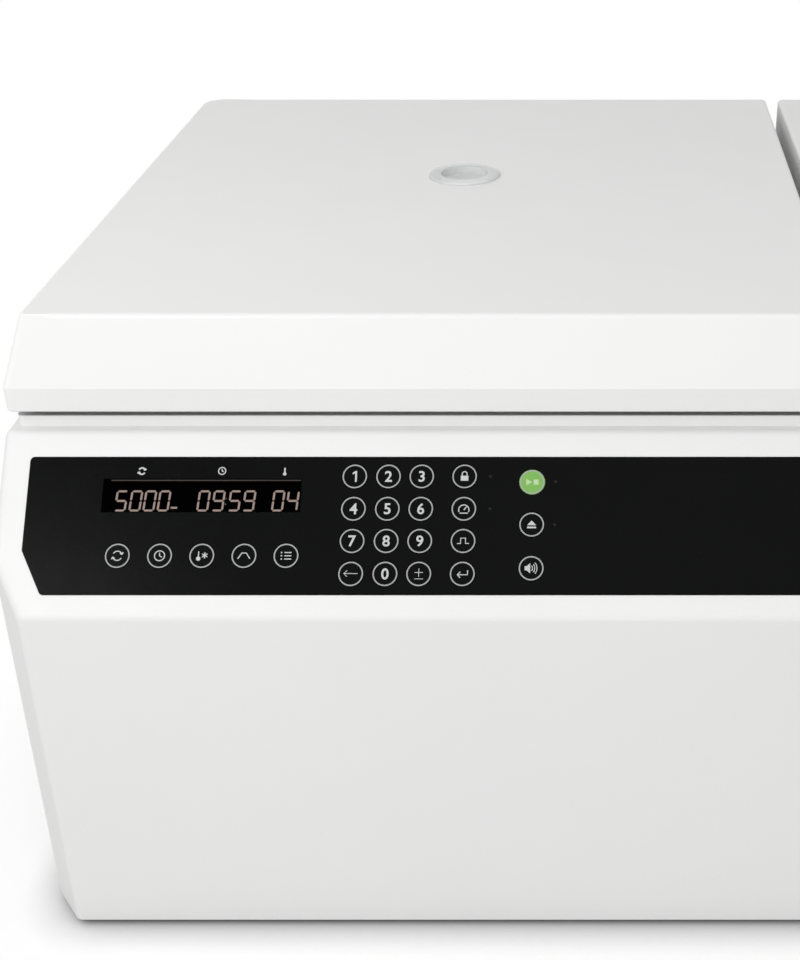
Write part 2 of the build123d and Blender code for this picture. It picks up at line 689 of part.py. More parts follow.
with BuildPart() as drive_shaft:
    with BuildSketch(CHAMBER_AXIS.offset(SHAFT_FOOT_Z)):
        Circle(SHAFT_R)
    extrude(amount=HUB_TOP_Z - SHAFT_FOOT_Z)
    with BuildSketch(CHAMBER_AXIS.offset(HUB_TOP_Z)):
        Circle(BOLT_R)
        with PolarLocations(BOLT_FLUTE_AT, BOLT_FLUTES):
            Circle(BOLT_FLUTE_R, mode=Mode.SUBTRACT)
    extrude(amount=BOLT_H)
drive_shaft.part.label = "drive_shaft"
export_step(drive_shaft.part, "parts/drive_shaft.step")

# Swing-out rotor: hub, four arms and the pins that the buckets hang on
HUB_R = 30.0
HUB_BOTTOM_Z = 205.0
ARM_R = 128.0
ARM_HALF_H = 13.0
SLOT_START_R = 50.0
PIN_REACH = 5.5
PIN_ROOT = 2.0
BUCKET_ANGLES = [360.0 / BUCKET_COUNT * i for i in range(BUCKET_COUNT)]


def pivot_plane(angle):
    """Plane at a bucket's pivot: x along the radius, z along the pivot pins."""
    along = (cos(radians(angle)), sin(radians(angle)))
    return Plane(
        origin=(AXIS_X + PIVOT_R * along[0], AXIS_Y + PIVOT_R * along[1], PIVOT_Z),
        x_dir=(along[0], along[1], 0),
        z_dir=(-along[1], along[0], 0),
    )


with BuildPart() as swing_rotor:
    with BuildSketch(CHAMBER_AXIS.offset(PIVOT_Z - ARM_HALF_H)):
        Circle(ARM_R)
        with PolarLocations(SLOT_START_R + ARM_R / 2, BUCKET_COUNT):
            Rectangle(ARM_R, 2 * ARM_FACE, mode=Mode.SUBTRACT)
    extrude(amount=2 * ARM_HALF_H)
    with BuildSketch(CHAMBER_AXIS.offset(HUB_BOTTOM_Z)):
        Circle(HUB_R)
    extrude(amount=HUB_TOP_Z - HUB_BOTTOM_Z)
    for angle in BUCKET_ANGLES:
        for side in (-1, 1):
            with BuildSketch(pivot_plane(angle).offset(side * (ARM_FACE - PIN_REACH))):
                Circle(PIN_R)
            extrude(amount=side * (PIN_REACH + PIN_ROOT))
    with BuildSketch(CHAMBER_AXIS.offset(HUB_BOTTOM_Z - CUT_PAST)):
        Circle(SHAFT_R)
    extrude(amount=HUB_TOP_Z, mode=Mode.SUBTRACT)
swing_rotor.part.label = "swing_rotor"
export_step(swing_rotor.part, "parts/swing_rotor.step")

# Buckets: round cups with two lugs, hanging on the rotor's pins
BUCKET_WALL = 2.5
BUCKET_CORNER = 8.0
BUCKET_INNER_CORNER = 6.0
PIN_HOLE_GAP = 0.5
PIN_HOLE_DEPTH = 10.0
LUG_HALF_W = 10.0
LUG_HALF_H = 12.0
LUG_START = 31.0

for number, angle in enumerate(BUCKET_ANGLES, start=1):
    pivot = pivot_plane(angle)
    upright = Plane((pivot.origin.X, pivot.origin.Y, 0))
    with BuildPart() as bucket:
        add(
            round_cup(
                upright,
                BUCKET_R,
                PIVOT_Z - BUCKET_DEPTH,
                PIVOT_Z + BUCKET_RIM,
                BUCKET_CORNER,
            )
        )
        for side in (-1, 1):
            with BuildSketch(pivot.offset(side * LUG_START)):
                Rectangle(2 * LUG_HALF_W, 2 * LUG_HALF_H)
            extrude(amount=side * (LUG_FACE - LUG_START))
        add(
            round_cup(
                upright,
                BUCKET_R - BUCKET_WALL,
                PIVOT_Z - BUCKET_DEPTH + BUCKET_WALL,
                PIVOT_Z + BUCKET_RIM + CUT_PAST,
                BUCKET_INNER_CORNER,
            ),
            mode=Mode.SUBTRACT,
        )
        for side in (-1, 1):
            with BuildSketch(pivot.offset(side * (ARM_FACE - PIN_REACH - PIN_HOLE_GAP))):
                Circle(PIN_R + PIN_CLEARANCE)
            extrude(amount=side * PIN_HOLE_DEPTH, mode=Mode.SUBTRACT)
    bucket.part.label = f"bucket_{number}"
    export_step(bucket.part, f"parts/bucket_{number}.step")

# Lid shell: hollow hood with screw bosses, a sleeve for the window and notches for the hinge arms
BOSS_R = 6.0
LINER_THICK = 3.0
LINER_Y = (-205.0, 262.0)
LID_BOSS_X = (-305.0, 98.0)
LID_BOSS_Y = (-192.0, 30.0, 248.0)
LID_BOSSES = [(x, y) for x in LID_BOSS_X for y in LID_BOSS_Y]
WINDOW_TUBE_R = 22.0
WINDOW_FIT = 0.1
NOTCH_GAP = 1.0

with BuildPart() as lid_shell:
    add(rounded_hood(-SKIRT_X, LID_RIGHT_X, SIDE_BEVEL, 0))
    add(hood(-SKIRT_X, LID_RIGHT_X, SIDE_BEVEL, 0, WALL), mode=Mode.SUBTRACT)
    with BuildSketch(Plane.XY.offset(LINER_Z + LINER_THICK)):
        with Locations(LID_BOSSES):
            Circle(BOSS_R)
        with Locations((AXIS_X, AXIS_Y)):
            Circle(WINDOW_TUBE_R + WALL)
    extrude(amount=TOP_Z - WALL - LINER_Z - LINER_THICK)
    with BuildSketch(CHAMBER_AXIS.offset(LINER_Z)):
        Circle(WINDOW_TUBE_R + WINDOW_FIT)
    extrude(amount=TOP_Z, mode=Mode.SUBTRACT)
    for x in HINGE_X:
        box_between(
            (x - KNUCKLE_W / 2 - NOTCH_GAP, LID_BACK_Y - 2 * WALL, SKIRT_BOTTOM_Z - CUT_PAST),
            (x + KNUCKLE_W / 2 + NOTCH_GAP, LID_BACK_Y + CUT_PAST, HINGE_Z + KNUCKLE_R + NOTCH_GAP),
            mode=Mode.SUBTRACT,
        )
lid_shell.part.label = "lid_shell"
export_step(lid_shell.part, "parts/lid_shell.step")

# Lid liner: steel plate under the lid, with the tab and stud for the gas spring
TAB_THICK = 3.0
TAB_HALF = 10.0
TAB_PAST = 8.0
STUD_LENGTH = 20.0

with BuildPart() as lid_liner:
    box_between(
        (LINER_X[0], LINER_Y[0], LINER_Z),
        (LINER_X[1], LINER_Y[1], LINER_Z + LINER_THICK),
    )
    box_between(
        (LINER_X[0], SPRING_TOP[0] - TAB_HALF, LINER_Z),
        (LINER_X[0] + TAB_THICK, SPRING_TOP[0] + TAB_HALF, SPRING_TOP[1] + TAB_PAST),
    )
    with BuildSketch(Plane.YZ.offset(LINER_X[0])):
        with Locations(SPRING_TOP):
            Circle(SPRING_ROD_R)
    extrude(amount=-STUD_LENGTH)
    with BuildSketch(CHAMBER_AXIS.offset(LINER_Z - CUT_PAST)):
        Circle(WINDOW_TUBE_R + WINDOW_FIT)
    extrude(amount=LINER_THICK + 2 * CUT_PAST, mode=Mode.SUBTRACT)
lid_liner.part.label = "lid_liner"
export_step(lid_liner.part, "parts/lid_liner.step")

# Viewing port: clear stepped plug through the lid
WINDOW_FLANGE_R = 25.75
WINDOW_FLANGE_H = 2.0
WINDOW_ROUND = 1.4
WINDOW_BORE_R = 17.0
WINDOW_DISC_Z = (372.0, 377.0)

with BuildPart() as viewport_window:
    with BuildSketch(CHAMBER_AXIS.offset(TOP_Z)):
        Circle(WINDOW_FLANGE_R)
    extrude(amount=WINDOW_FLANGE_H)
    fillet(viewport_window.edges().group_by(Axis.Z)[-1], WINDOW_ROUND)
    with BuildSketch(CHAMBER_AXIS.offset(LINER_Z)):
        Circle(WINDOW_TUBE_R)
    extrude(amount=TOP_Z - LINER_Z)
    with BuildSketch(CHAMBER_AXIS.offset(LINER_Z)):
        Circle(WINDOW_BORE_R)
    extrude(amount=WINDOW_DISC_Z[0] - LINER_Z, mode=Mode.SUBTRACT)
    with BuildSketch(CHAMBER_AXIS.offset(WINDOW_DISC_Z[1])):
        Circle(WINDOW_BORE_R)
    extrude(amount=TOP_Z, mode=Mode.SUBTRACT)
viewport_window.part.label = "viewport_window"
export_step(viewport_window.part, "parts/viewport_window.step")

# Lid striker: plate and steel loop that the hook holds
STRIKER_LEG_X = 11.0
STRIKER_PLATE = (52.0, 18.0, 3.0)
STRIKER_END = 1.0

with BuildPart() as lid_striker:
    box_between(
        (AXIS_X - STRIKER_PLATE[0] / 2, LOCK_Y - STRIKER_PLATE[1] / 2, LINER_Z - STRIKER_PLATE[2]),
        (AXIS_X + STRIKER_PLATE[0] / 2, LOCK_Y + STRIKER_PLATE[1] / 2, LINER_Z),
    )
    with BuildSketch(Plane.XY.offset(STRIKER_BAR_Z)):
        with Locations((AXIS_X - STRIKER_LEG_X, LOCK_Y), (AXIS_X + STRIKER_LEG_X, LOCK_Y)):
            Rectangle(2 * STRIKER_BAR_R, 2 * STRIKER_BAR_R)
    extrude(amount=LINER_Z - STRIKER_PLATE[2] - STRIKER_BAR_Z)
    with BuildSketch(Plane.YZ.offset(AXIS_X)):
        with Locations((LOCK_Y, STRIKER_BAR_Z)):
            Circle(STRIKER_BAR_R)
    extrude(amount=STRIKER_LEG_X + STRIKER_BAR_R + STRIKER_END, both=True)
lid_striker.part.label = "lid_striker"
export_step(lid_striker.part, "parts/lid_striker.step")

# Hinge arms: bars welded on the liner, each ending in a knuckle
ARM_TOP_Z = 335.0
ARM_FRONT_Y = 225.0
HINGE_CLEARANCE = 0.06

with BuildPart() as hinge_arms:
    for x in HINGE_X:
        box_between(
            (x - KNUCKLE_W / 2, ARM_FRONT_Y, LINER_Z + LINER_THICK),
            (x + KNUCKLE_W / 2, HINGE_Y, ARM_TOP_Z),
        )
        with BuildSketch(Plane.YZ.offset(x)):
            with Locations((HINGE_Y, HINGE_Z)):
                Circle(KNUCKLE_R)
        extrude(amount=KNUCKLE_W / 2, both=True)
        with BuildSketch(Plane.YZ.offset(x)):
            with Locations((HINGE_Y, HINGE_Z)):
                Circle(HINGE_PIN_R + HINGE_CLEARANCE)
        extrude(amount=KNUCKLE_W, both=True, mode=Mode.SUBTRACT)
hinge_arms.part.label = "hinge_arms"
export_step(hinge_arms.part, "parts/hinge_arms.step")

# Hinge brackets: two ears and a riveted pin on a base plate, one bracket at each side
EAR_GAP = 0.5
EAR_W = 5.0
BRACKET_HALF_W = 20.0
BRACKET_FRONT_Y = 286.0
BRACKET_THICK = 3.0
PIN_HEAD = 1.0

with BuildPart() as hinge_brackets:
    for x in HINGE_X:
        box_between(
            (x - BRACKET_HALF_W, BRACKET_FRONT_Y, SHOULDER_Z),
            (x + BRACKET_HALF_W, HINGE_Y + KNUCKLE_R, SHOULDER_Z + BRACKET_THICK),
        )
        for side in (-1, 1):
            near = x + side * (KNUCKLE_W / 2 + EAR_GAP)
            with BuildSketch(Plane.YZ.offset(near)):
                with Locations((HINGE_Y, HINGE_Z)):
                    Circle(KNUCKLE_R)
                with Locations((HINGE_Y, (HINGE_Z + SHOULDER_Z) / 2)):
                    Rectangle(2 * KNUCKLE_R, HINGE_Z - SHOULDER_Z)
            extrude(amount=side * EAR_W)
        with BuildSketch(Plane.YZ.offset(x)):
            with Locations((HINGE_Y, HINGE_Z)):
                Circle(HINGE_PIN_R)
        extrude(amount=KNUCKLE_W / 2 + EAR_GAP + EAR_W + PIN_HEAD, both=True)
hinge_brackets.part.label = "hinge_brackets"
export_step(hinge_brackets.part, "parts/hinge_brackets.step")

# Gas spring: rod on the lid's stud, tube below it, both on the line between their pivots
SPRING_RUN = (SPRING_FOOT[0] - SPRING_TOP[0], SPRING_FOOT[1] - SPRING_TOP[1])
SPRING_LENGTH = (SPRING_RUN[0] ** 2 + SPRING_RUN[1] ** 2) ** 0.5
SPRING_AXIS = Plane(
    origin=(SPRING_X, SPRING_TOP[0], SPRING_TOP[1]),
    x_dir=(1, 0, 0),
    z_dir=(0, SPRING_RUN[0], SPRING_RUN[1]),
)
EYE_R = 8.0
EYE_W = 9.0
ROD_LENGTH = 98.0
TUBE_START = 13.0
TUBE_END = SPRING_LENGTH - 9.0
ROD_END_ROOM = 4.0
FOOT_EYE_R = 10.5
FOOT_PLAY = 5.3
FOOT_BORE_R = STRUT_PIN_R + FOOT_PLAY
FOOT_EYE_W = 8.0

with BuildPart() as gas_spring_rod:
    with BuildSketch(Plane.YZ.offset(SPRING_X)):
        with Locations(SPRING_TOP):
            Circle(EYE_R)
    extrude(amount=EYE_W / 2, both=True)
    with BuildSketch(SPRING_AXIS):
        Circle(SPRING_ROD_R)
    extrude(amount=ROD_LENGTH)
    with BuildSketch(Plane.YZ.offset(SPRING_X)):
        with Locations(SPRING_TOP):
            Circle(SPRING_ROD_R + HINGE_CLEARANCE)
    extrude(amount=EYE_W, both=True, mode=Mode.SUBTRACT)
gas_spring_rod.part.label = "gas_spring_rod"
export_step(gas_spring_rod.part, "parts/gas_spring_rod.step")

with BuildPart() as gas_spring_tube:
    with BuildSketch(SPRING_AXIS.offset(TUBE_START)):
        Circle(SPRING_TUBE_R)
    extrude(amount=TUBE_END - TUBE_START)
    with BuildSketch(SPRING_AXIS.offset(TUBE_START - CUT_PAST)):
        Circle(SPRING_ROD_R + SHAFT_CLEARANCE)
    extrude(amount=ROD_LENGTH + ROD_END_ROOM - TUBE_START, mode=Mode.SUBTRACT)
    with BuildSketch(Plane.YZ.offset(SPRING_X)):
        with Locations(SPRING_FOOT):
            Circle(FOOT_EYE_R)
            Circle(FOOT_BORE_R, mode=Mode.SUBTRACT)
    extrude(amount=FOOT_EYE_W / 2, both=True)
gas_spring_tube.part.label = "gas_spring_tube"
export_step(gas_spring_tube.part, "parts/gas_spring_tube.step")

# Lock housing: two cheeks, floor, hook pin and the solenoid that drives the hook
HOUSING_X = 30.0
CHEEK = 4.0
HOUSING_FLOOR_Z = 246.0
HOUSING_Y = (-226.0, -168.0)
CHEEK_STEP = (-205.0, 302.0)
CHEEK_SLOPE = 10.0
HOOK_W = 10.0
HOOK_PIN_R = 4.0
SOLENOID_R = 16.0
SOLENOID_H = 34.0

with BuildPart() as lock_housing:
    for side in (-1, 1):
        with BuildSketch(Plane.YZ.offset(AXIS_X + side * (HOUSING_X - CHEEK))):
            with BuildLine():
                Polyline(
                    (HOUSING_Y[0], HOUSING_FLOOR_Z),
                    (HOUSING_Y[1], HOUSING_FLOOR_Z),
                    (HOUSING_Y[1], DECK_Z - WALL),
                    (CHEEK_STEP[0], DECK_Z - WALL),
                    (CHEEK_STEP[0], CHEEK_STEP[1]),
                    (HOUSING_Y[0], CHEEK_STEP[1] - CHEEK_SLOPE),
                    close=True,
                )
            make_face()
        extrude(amount=side * CHEEK)
    box_between(
        (AXIS_X - HOUSING_X, HOUSING_Y[0], HOUSING_FLOOR_Z - CHEEK),
        (AXIS_X + HOUSING_X, HOUSING_Y[1], HOUSING_FLOOR_Z),
    )
    with BuildSketch(Plane.YZ.offset(AXIS_X)):
        with Locations(HOOK_PIVOT):
            Circle(HOOK_PIN_R)
    extrude(amount=HOUSING_X, both=True)
    with BuildSketch(Plane.XY.offset(HOUSING_FLOOR_Z - CHEEK - SOLENOID_H)):
        with Locations((AXIS_X, sum(HOUSING_Y) / 2)):
            Circle(SOLENOID_R)
    extrude(amount=SOLENOID_H)
lock_housing.part.label = "lock_housing"
export_step(lock_housing.part, "parts/lock_housing.step")

# Lock hook, drawn engaged in its own plane and stored swung open
HOOK_PLANE = Plane(
    origin=(AXIS_X, HOOK_PIVOT[0], HOOK_PIVOT[1]),
    x_dir=(0, cos(radians(HOOK_SWING)), sin(radians(HOOK_SWING))),
    z_dir=(1, 0, 0),
)
LIP_GAP = 0.6
LIP_Y = LOCK_Y - HOOK_PIVOT[0] + 6.0
LIP_Z = STRIKER_BAR_Z + STRIKER_BAR_R + LIP_GAP - HOOK_PIVOT[1]
LIP_THICK = 6.0
HOOK_EYE_R = 8.0
STEM_HALF = 5.0
STEM_FOOT = -3.0

with BuildPart() as lock_hook:
    with BuildSketch(HOOK_PLANE):
        Circle(HOOK_EYE_R)
        with BuildLine():
            Polyline(
                (-STEM_HALF, STEM_FOOT),
                (-STEM_HALF, LIP_Z + LIP_THICK),
                (LIP_Y, LIP_Z + LIP_THICK),
                (LIP_Y, LIP_Z),
                (STEM_HALF, LIP_Z),
                (STEM_HALF, STEM_FOOT),
                close=True,
            )
        make_face()
    extrude(amount=HOOK_W / 2, both=True)
    with BuildSketch(HOOK_PLANE):
        Circle(HOOK_PIN_R + HINGE_CLEARANCE)
    extrude(amount=HOOK_W, both=True, mode=Mode.SUBTRACT)
lock_hook.part.label = "lock_hook"
export_step(lock_hook.part, "parts/lock_hook.step")

# Compressor: welded can with rounded ends on its foot plate
COMPRESSOR_AT = Plane((245, 170, 0))
COMPRESSOR_R = 62.0
COMPRESSOR_Z = (22.0, 190.0)
DOME_ROUND = 28.0
BASE_ROUND = 14.0
SADDLE = (160.0, 130.0)
SADDLE_CORNER = 12.0
SADDLE_THICK = 4.0
DAMPER_SPAN = (136.0, 106.0)
DAMPER_R = 11.0

with BuildPart() as compressor:
    with BuildSketch(COMPRESSOR_AT.offset(COMPRESSOR_Z[0])):
        Circle(COMPRESSOR_R)
    extrude(amount=COMPRESSOR_Z[1] - COMPRESSOR_Z[0])
    fillet(compressor.edges().filter_by(GeomType.CIRCLE).sort_by(Axis.Z)[-1], DOME_ROUND)
    fillet(compressor.edges().filter_by(GeomType.CIRCLE).sort_by(Axis.Z)[0], BASE_ROUND)
    with BuildSketch(COMPRESSOR_AT.offset(COMPRESSOR_Z[0] - SADDLE_THICK)):
        RectangleRounded(*SADDLE, SADDLE_CORNER)
    extrude(amount=SADDLE_THICK)
    with BuildSketch(COMPRESSOR_AT.offset(FOOT_GAP + PAN_THICK)):
        with GridLocations(*DAMPER_SPAN, 2, 2):
            Circle(DAMPER_R)
    extrude(amount=COMPRESSOR_Z[0] - SADDLE_THICK - FOOT_GAP - PAN_THICK)
compressor.part.label = "compressor"
export_step(compressor.part, "parts/compressor.step")

# Condenser: finned block on end plates, behind the side slots
CONDENSER_X = (322.0, 344.0)
FIN_COUNT = 24
FIN_PITCH = 8.0
FIN_THICK = 0.8
FIN_Z = (35.0, 235.0)
CONDENSER_END_Y = (-220.0, -18.0)
TUBE_ROWS = 8
TUBE_PITCH = 24.0
TUBE_R = 4.0
END_PLATE = 2.0
END_PLATE_PAST = 5.0

with BuildPart() as condenser:
    with BuildSketch(Plane.XY.offset(FIN_Z[0])):
        with Locations((sum(CONDENSER_X) / 2, sum(CONDENSER_END_Y) / 2)):
            with GridLocations(1, FIN_PITCH, 1, FIN_COUNT):
                Rectangle(CONDENSER_X[1] - CONDENSER_X[0], FIN_THICK)
    extrude(amount=FIN_Z[1] - FIN_Z[0])
    for y in (CONDENSER_END_Y[0], CONDENSER_END_Y[1] - END_PLATE):
        box_between(
            (CONDENSER_X[0], y, FOOT_GAP + PAN_THICK),
            (CONDENSER_X[1], y + END_PLATE, FIN_Z[1] + END_PLATE_PAST),
        )
    with BuildSketch(Plane.XZ.offset(-CONDENSER_END_Y[0])):
        with Locations((sum(CONDENSER_X) / 2, sum(FIN_Z) / 2)):
            with GridLocations(1, TUBE_PITCH, 1, TUBE_ROWS):
                Circle(TUBE_R)
    extrude(amount=-(CONDENSER_END_Y[1] - CONDENSER_END_Y[0]))
condenser.part.label = "condenser"
export_step(condenser.part, "parts/condenser.step")

# Fan shroud: duct ring on a plate, with the fan motor held by three arms
FAN_AXIS = Plane(
    origin=(0, CONDENSER_Y, CONDENSER_Z),
    x_dir=(0, 1, 0),
    z_dir=(1, 0, 0),
)
DUCT_R = 88.0
DUCT_X = (288.0, 320.0)
FAN_MOTOR_X = (262.0, 292.0)
FAN_MOTOR_R = 26.0
FAN_SHAFT_R = 3.0
FAN_SHAFT_END = 10.0
BEARING_ROOM = 2.0
DUCT_WALL = 3.0
PLATE_THICK = 2.0
PLATE_DROP = 4.0
PLATE_W = 202.0
SPOKE_COUNT = 3
SPOKE_W = 8.0
SPOKE_THICK = 4.0

with BuildPart() as fan_shroud:
    with BuildSketch(FAN_AXIS.offset(DUCT_X[1] - PLATE_THICK)):
        with Locations((0, -PLATE_DROP)):
            Rectangle(PLATE_W, 2 * (CONDENSER_Z - PLATE_DROP - FOOT_GAP - PAN_THICK))
        Circle(DUCT_R, mode=Mode.SUBTRACT)
    extrude(amount=PLATE_THICK)
    with BuildSketch(FAN_AXIS.offset(DUCT_X[0])):
        Circle(DUCT_R + DUCT_WALL)
        Circle(DUCT_R, mode=Mode.SUBTRACT)
    extrude(amount=DUCT_X[1] - DUCT_X[0])
    with BuildSketch(FAN_AXIS.offset(FAN_MOTOR_X[1] - SPOKE_THICK)):
        Circle(DUCT_R + DUCT_WALL)
        Circle(DUCT_R, mode=Mode.SUBTRACT)
        with PolarLocations((DUCT_R + DUCT_WALL) / 2, SPOKE_COUNT):
            Rectangle(DUCT_R, SPOKE_W)
    extrude(amount=SPOKE_THICK)
    with BuildSketch(FAN_AXIS.offset(FAN_MOTOR_X[0])):
        Circle(FAN_MOTOR_R)
    extrude(amount=FAN_MOTOR_X[1] - FAN_MOTOR_X[0])
    with BuildSketch(FAN_AXIS.offset(FAN_MOTOR_X[0] + FAN_SHAFT_END - BEARING_ROOM)):
        Circle(FAN_SHAFT_R + SHAFT_CLEARANCE)
    extrude(amount=DUCT_X[1] - FAN_MOTOR_X[0], mode=Mode.SUBTRACT)
fan_shroud.part.label = "fan_shroud"
export_step(fan_shroud.part, "parts/fan_shroud.step")

# Fan blades on their hub and shaft
BLADE_COUNT = 7
BLADE_TILT = 28.0
BLADE_X = 305.0
BLADE_TIP_R = 82.0
BLADE_HUB_R = 20.0
BLADE_HUB_H = 16.0
BLADE_ROOT = 3.0
BLADE = (34.0, 2.0)

with BuildPart() as fan_blades:
    with BuildSketch(FAN_AXIS.offset(BLADE_X - BLADE_HUB_H / 2)):
        Circle(BLADE_HUB_R)
    extrude(amount=BLADE_HUB_H)
    with BuildSketch(FAN_AXIS.offset(FAN_MOTOR_X[0] + FAN_SHAFT_END)):
        Circle(FAN_SHAFT_R)
    extrude(amount=BLADE_X - FAN_MOTOR_X[0] - FAN_SHAFT_END)
    for number in range(BLADE_COUNT):
        turn = 360.0 / BLADE_COUNT * number
        blade_root = Plane(
            origin=(BLADE_X, CONDENSER_Y, CONDENSER_Z),
            x_dir=(sin(radians(BLADE_TILT)), -sin(radians(turn)) * cos(radians(BLADE_TILT)),
                   cos(radians(turn)) * cos(radians(BLADE_TILT))),
            z_dir=(0, cos(radians(turn)), sin(radians(turn))),
        )
        with BuildSketch(blade_root.offset(BLADE_HUB_R - BLADE_ROOT)):
            Rectangle(*BLADE)
        extrude(amount=BLADE_TIP_R - BLADE_HUB_R + BLADE_ROOT)
fan_blades.part.label = "fan_blades"
export_step(fan_blades.part, "parts/fan_blades.step")

# Refrigerant circuit: flattened cooling turns round the bowl, drier and the three lines
LINE_R = 4.0
LINE_BEND = 14.0
LINE_TOP_Z = 310.0
COIL_LOW_Z = 158.0
COIL_HIGH_Z = COIL_LOW_Z + COIL_PITCH * (COIL_TURNS - 1)
SUCTION_AT = (225.0, 152.0)
DISCHARGE_AT = (262.0, 182.0)
DISCHARGE_Z = 225.0
LIQUID_Z = 50.0
LIQUID_X = 170.0
CONDENSER_LINE_X = sum(CONDENSER_X) / 2
RETURN_Y = 30.0
RETURN_X = AXIS_X + (COIL_R**2 - (AXIS_Y - RETURN_Y) ** 2) ** 0.5
DRIER_X = (195.0, 285.0)
DRIER_R = 11.0

SUCTION_LINE = [
    (AXIS_X + COIL_R, AXIS_Y, COIL_LOW_Z),
    (AXIS_X + COIL_R, AXIS_Y, LINE_TOP_Z),
    (SUCTION_AT[0], AXIS_Y, LINE_TOP_Z),
    (SUCTION_AT[0], SUCTION_AT[1], LINE_TOP_Z),
    (SUCTION_AT[0], SUCTION_AT[1], COMPRESSOR_Z[1]),
]
DISCHARGE_LINE = [
    (DISCHARGE_AT[0], DISCHARGE_AT[1], COMPRESSOR_Z[1]),
    (DISCHARGE_AT[0], DISCHARGE_AT[1], DISCHARGE_Z),
    (CONDENSER_LINE_X, DISCHARGE_AT[1], DISCHARGE_Z),
    (CONDENSER_LINE_X, CONDENSER_END_Y[1], DISCHARGE_Z),
]
LIQUID_LINE = [
    (CONDENSER_LINE_X, CONDENSER_END_Y[1], LIQUID_Z),
    (CONDENSER_LINE_X, RETURN_Y, LIQUID_Z),
    (LIQUID_X, RETURN_Y, LIQUID_Z),
    (LIQUID_X, RETURN_Y, LINE_TOP_Z),
    (RETURN_X, RETURN_Y, LINE_TOP_Z),
    (RETURN_X, RETURN_Y, COIL_HIGH_Z),
]

with BuildPart() as refrigerant_pipes:
    for turn in range(COIL_TURNS):
        with BuildSketch(CHAMBER_AXIS.offset(COIL_LOW_Z + COIL_PITCH * turn)):
            Circle(COIL_R + COIL_HALF)
            Circle(COIL_R - COIL_HALF, mode=Mode.SUBTRACT)
        extrude(amount=COIL_HALF, both=True)
    for route in (SUCTION_LINE, DISCHARGE_LINE, LIQUID_LINE):
        with BuildLine() as path:
            FilletPolyline(*route, radius=LINE_BEND)
        with BuildSketch(Plane(origin=path.line @ 0, z_dir=path.line % 0)):
            Circle(LINE_R)
        sweep(path=path.line)
    with BuildSketch(Plane.YZ.offset(DRIER_X[0])):
        with Locations((RETURN_Y, LIQUID_Z)):
            Circle(DRIER_R)
    extrude(amount=DRIER_X[1] - DRIER_X[0])
refrigerant_pipes.part.label = "refrigerant_pipes"
export_step(refrigerant_pipes.part, "parts/refrigerant_pipes.step")

# Power inlet: socket with three blades, and the frame of the power switch above it
SOCKET_Z = 64.0
SWITCH_Z = 101.0
SWITCH_Y = 288.0
SOCKET = (25.0, 18.0)
SOCKET_DEPTH = 17.0
SWITCH = (21.0, 26.0)
SWITCH_BACK_Y = 278.0
MODULE_BACK_Y = 268.0
MODULE_FACE_Y = REAR_FACE_Y + 3.0
MODULE_ROUND = 4.0
PRONG_PLACES = ((-7, 2.5), (7, 2.5), (0, -3.5))
PRONG_HALF = (1.0, 3.0)
PRONG_SHORT = 3.0
ROCKER_R = 12.5
ROCKER_PIN_R = 2.0
ROCKER_PIN_PAST = 2.0

with BuildPart() as power_inlet:
    box_between(
        (INLET_X - MODULE_W / 2, REAR_FACE_Y, MODULE_Z[0]),
        (INLET_X + MODULE_W / 2, MODULE_FACE_Y, MODULE_Z[1]),
    )
    fillet(power_inlet.edges().filter_by(Axis.Y), MODULE_ROUND)
    box_between(
        (INLET_X - BODY_W / 2, MODULE_BACK_Y, BODY_Z[0]),
        (INLET_X + BODY_W / 2, REAR_FACE_Y, BODY_Z[1]),
    )
    box_between(
        (INLET_X - SOCKET[0] / 2, MODULE_FACE_Y - SOCKET_DEPTH, SOCKET_Z - SOCKET[1] / 2),
        (INLET_X + SOCKET[0] / 2, MODULE_FACE_Y + CUT_PAST, SOCKET_Z + SOCKET[1] / 2),
        mode=Mode.SUBTRACT,
    )
    for x, z in PRONG_PLACES:
        box_between(
            (INLET_X + x - PRONG_HALF[0], MODULE_FACE_Y - SOCKET_DEPTH, SOCKET_Z + z - PRONG_HALF[1]),
            (INLET_X + x + PRONG_HALF[0], MODULE_FACE_Y - PRONG_SHORT, SOCKET_Z + z + PRONG_HALF[1]),
        )
    box_between(
        (INLET_X - SWITCH[0] / 2, SWITCH_BACK_Y, SWITCH_Z - SWITCH[1] / 2),
        (INLET_X + SWITCH[0] / 2, MODULE_FACE_Y + CUT_PAST, SWITCH_Z + SWITCH[1] / 2),
        mode=Mode.SUBTRACT,
    )
    with BuildSketch(Plane.YZ.offset(INLET_X)):
        with Locations((SWITCH_Y, SWITCH_Z)):
            Circle(ROCKER_PIN_R + SHAFT_CLEARANCE)
    extrude(amount=SWITCH[0] / 2 + ROCKER_PIN_PAST + CUT_PAST, both=True, mode=Mode.SUBTRACT)
power_inlet.part.label = "power_inlet"
export_step(power_inlet.part, "parts/power_inlet.step")

# Power switch: rocker with a shallow V face, stored tipped to off
ROCKER_FLAT = 8.5
ROCKER_TILT = 9.0
ROCKER_W = 20.4
ROCKER_BACK_CUT = (16.0, 40.0)
ROCKER_BACK_X = -14.0
FACE_REACH = 20.0
FACE_PAST = 30.0
ROCKER_PLANE = Plane(
    origin=(INLET_X, SWITCH_Y, SWITCH_Z),
    x_dir=(0, cos(radians(ROCKER_TILT)), sin(radians(ROCKER_TILT))),
    z_dir=(1, 0, 0),
)

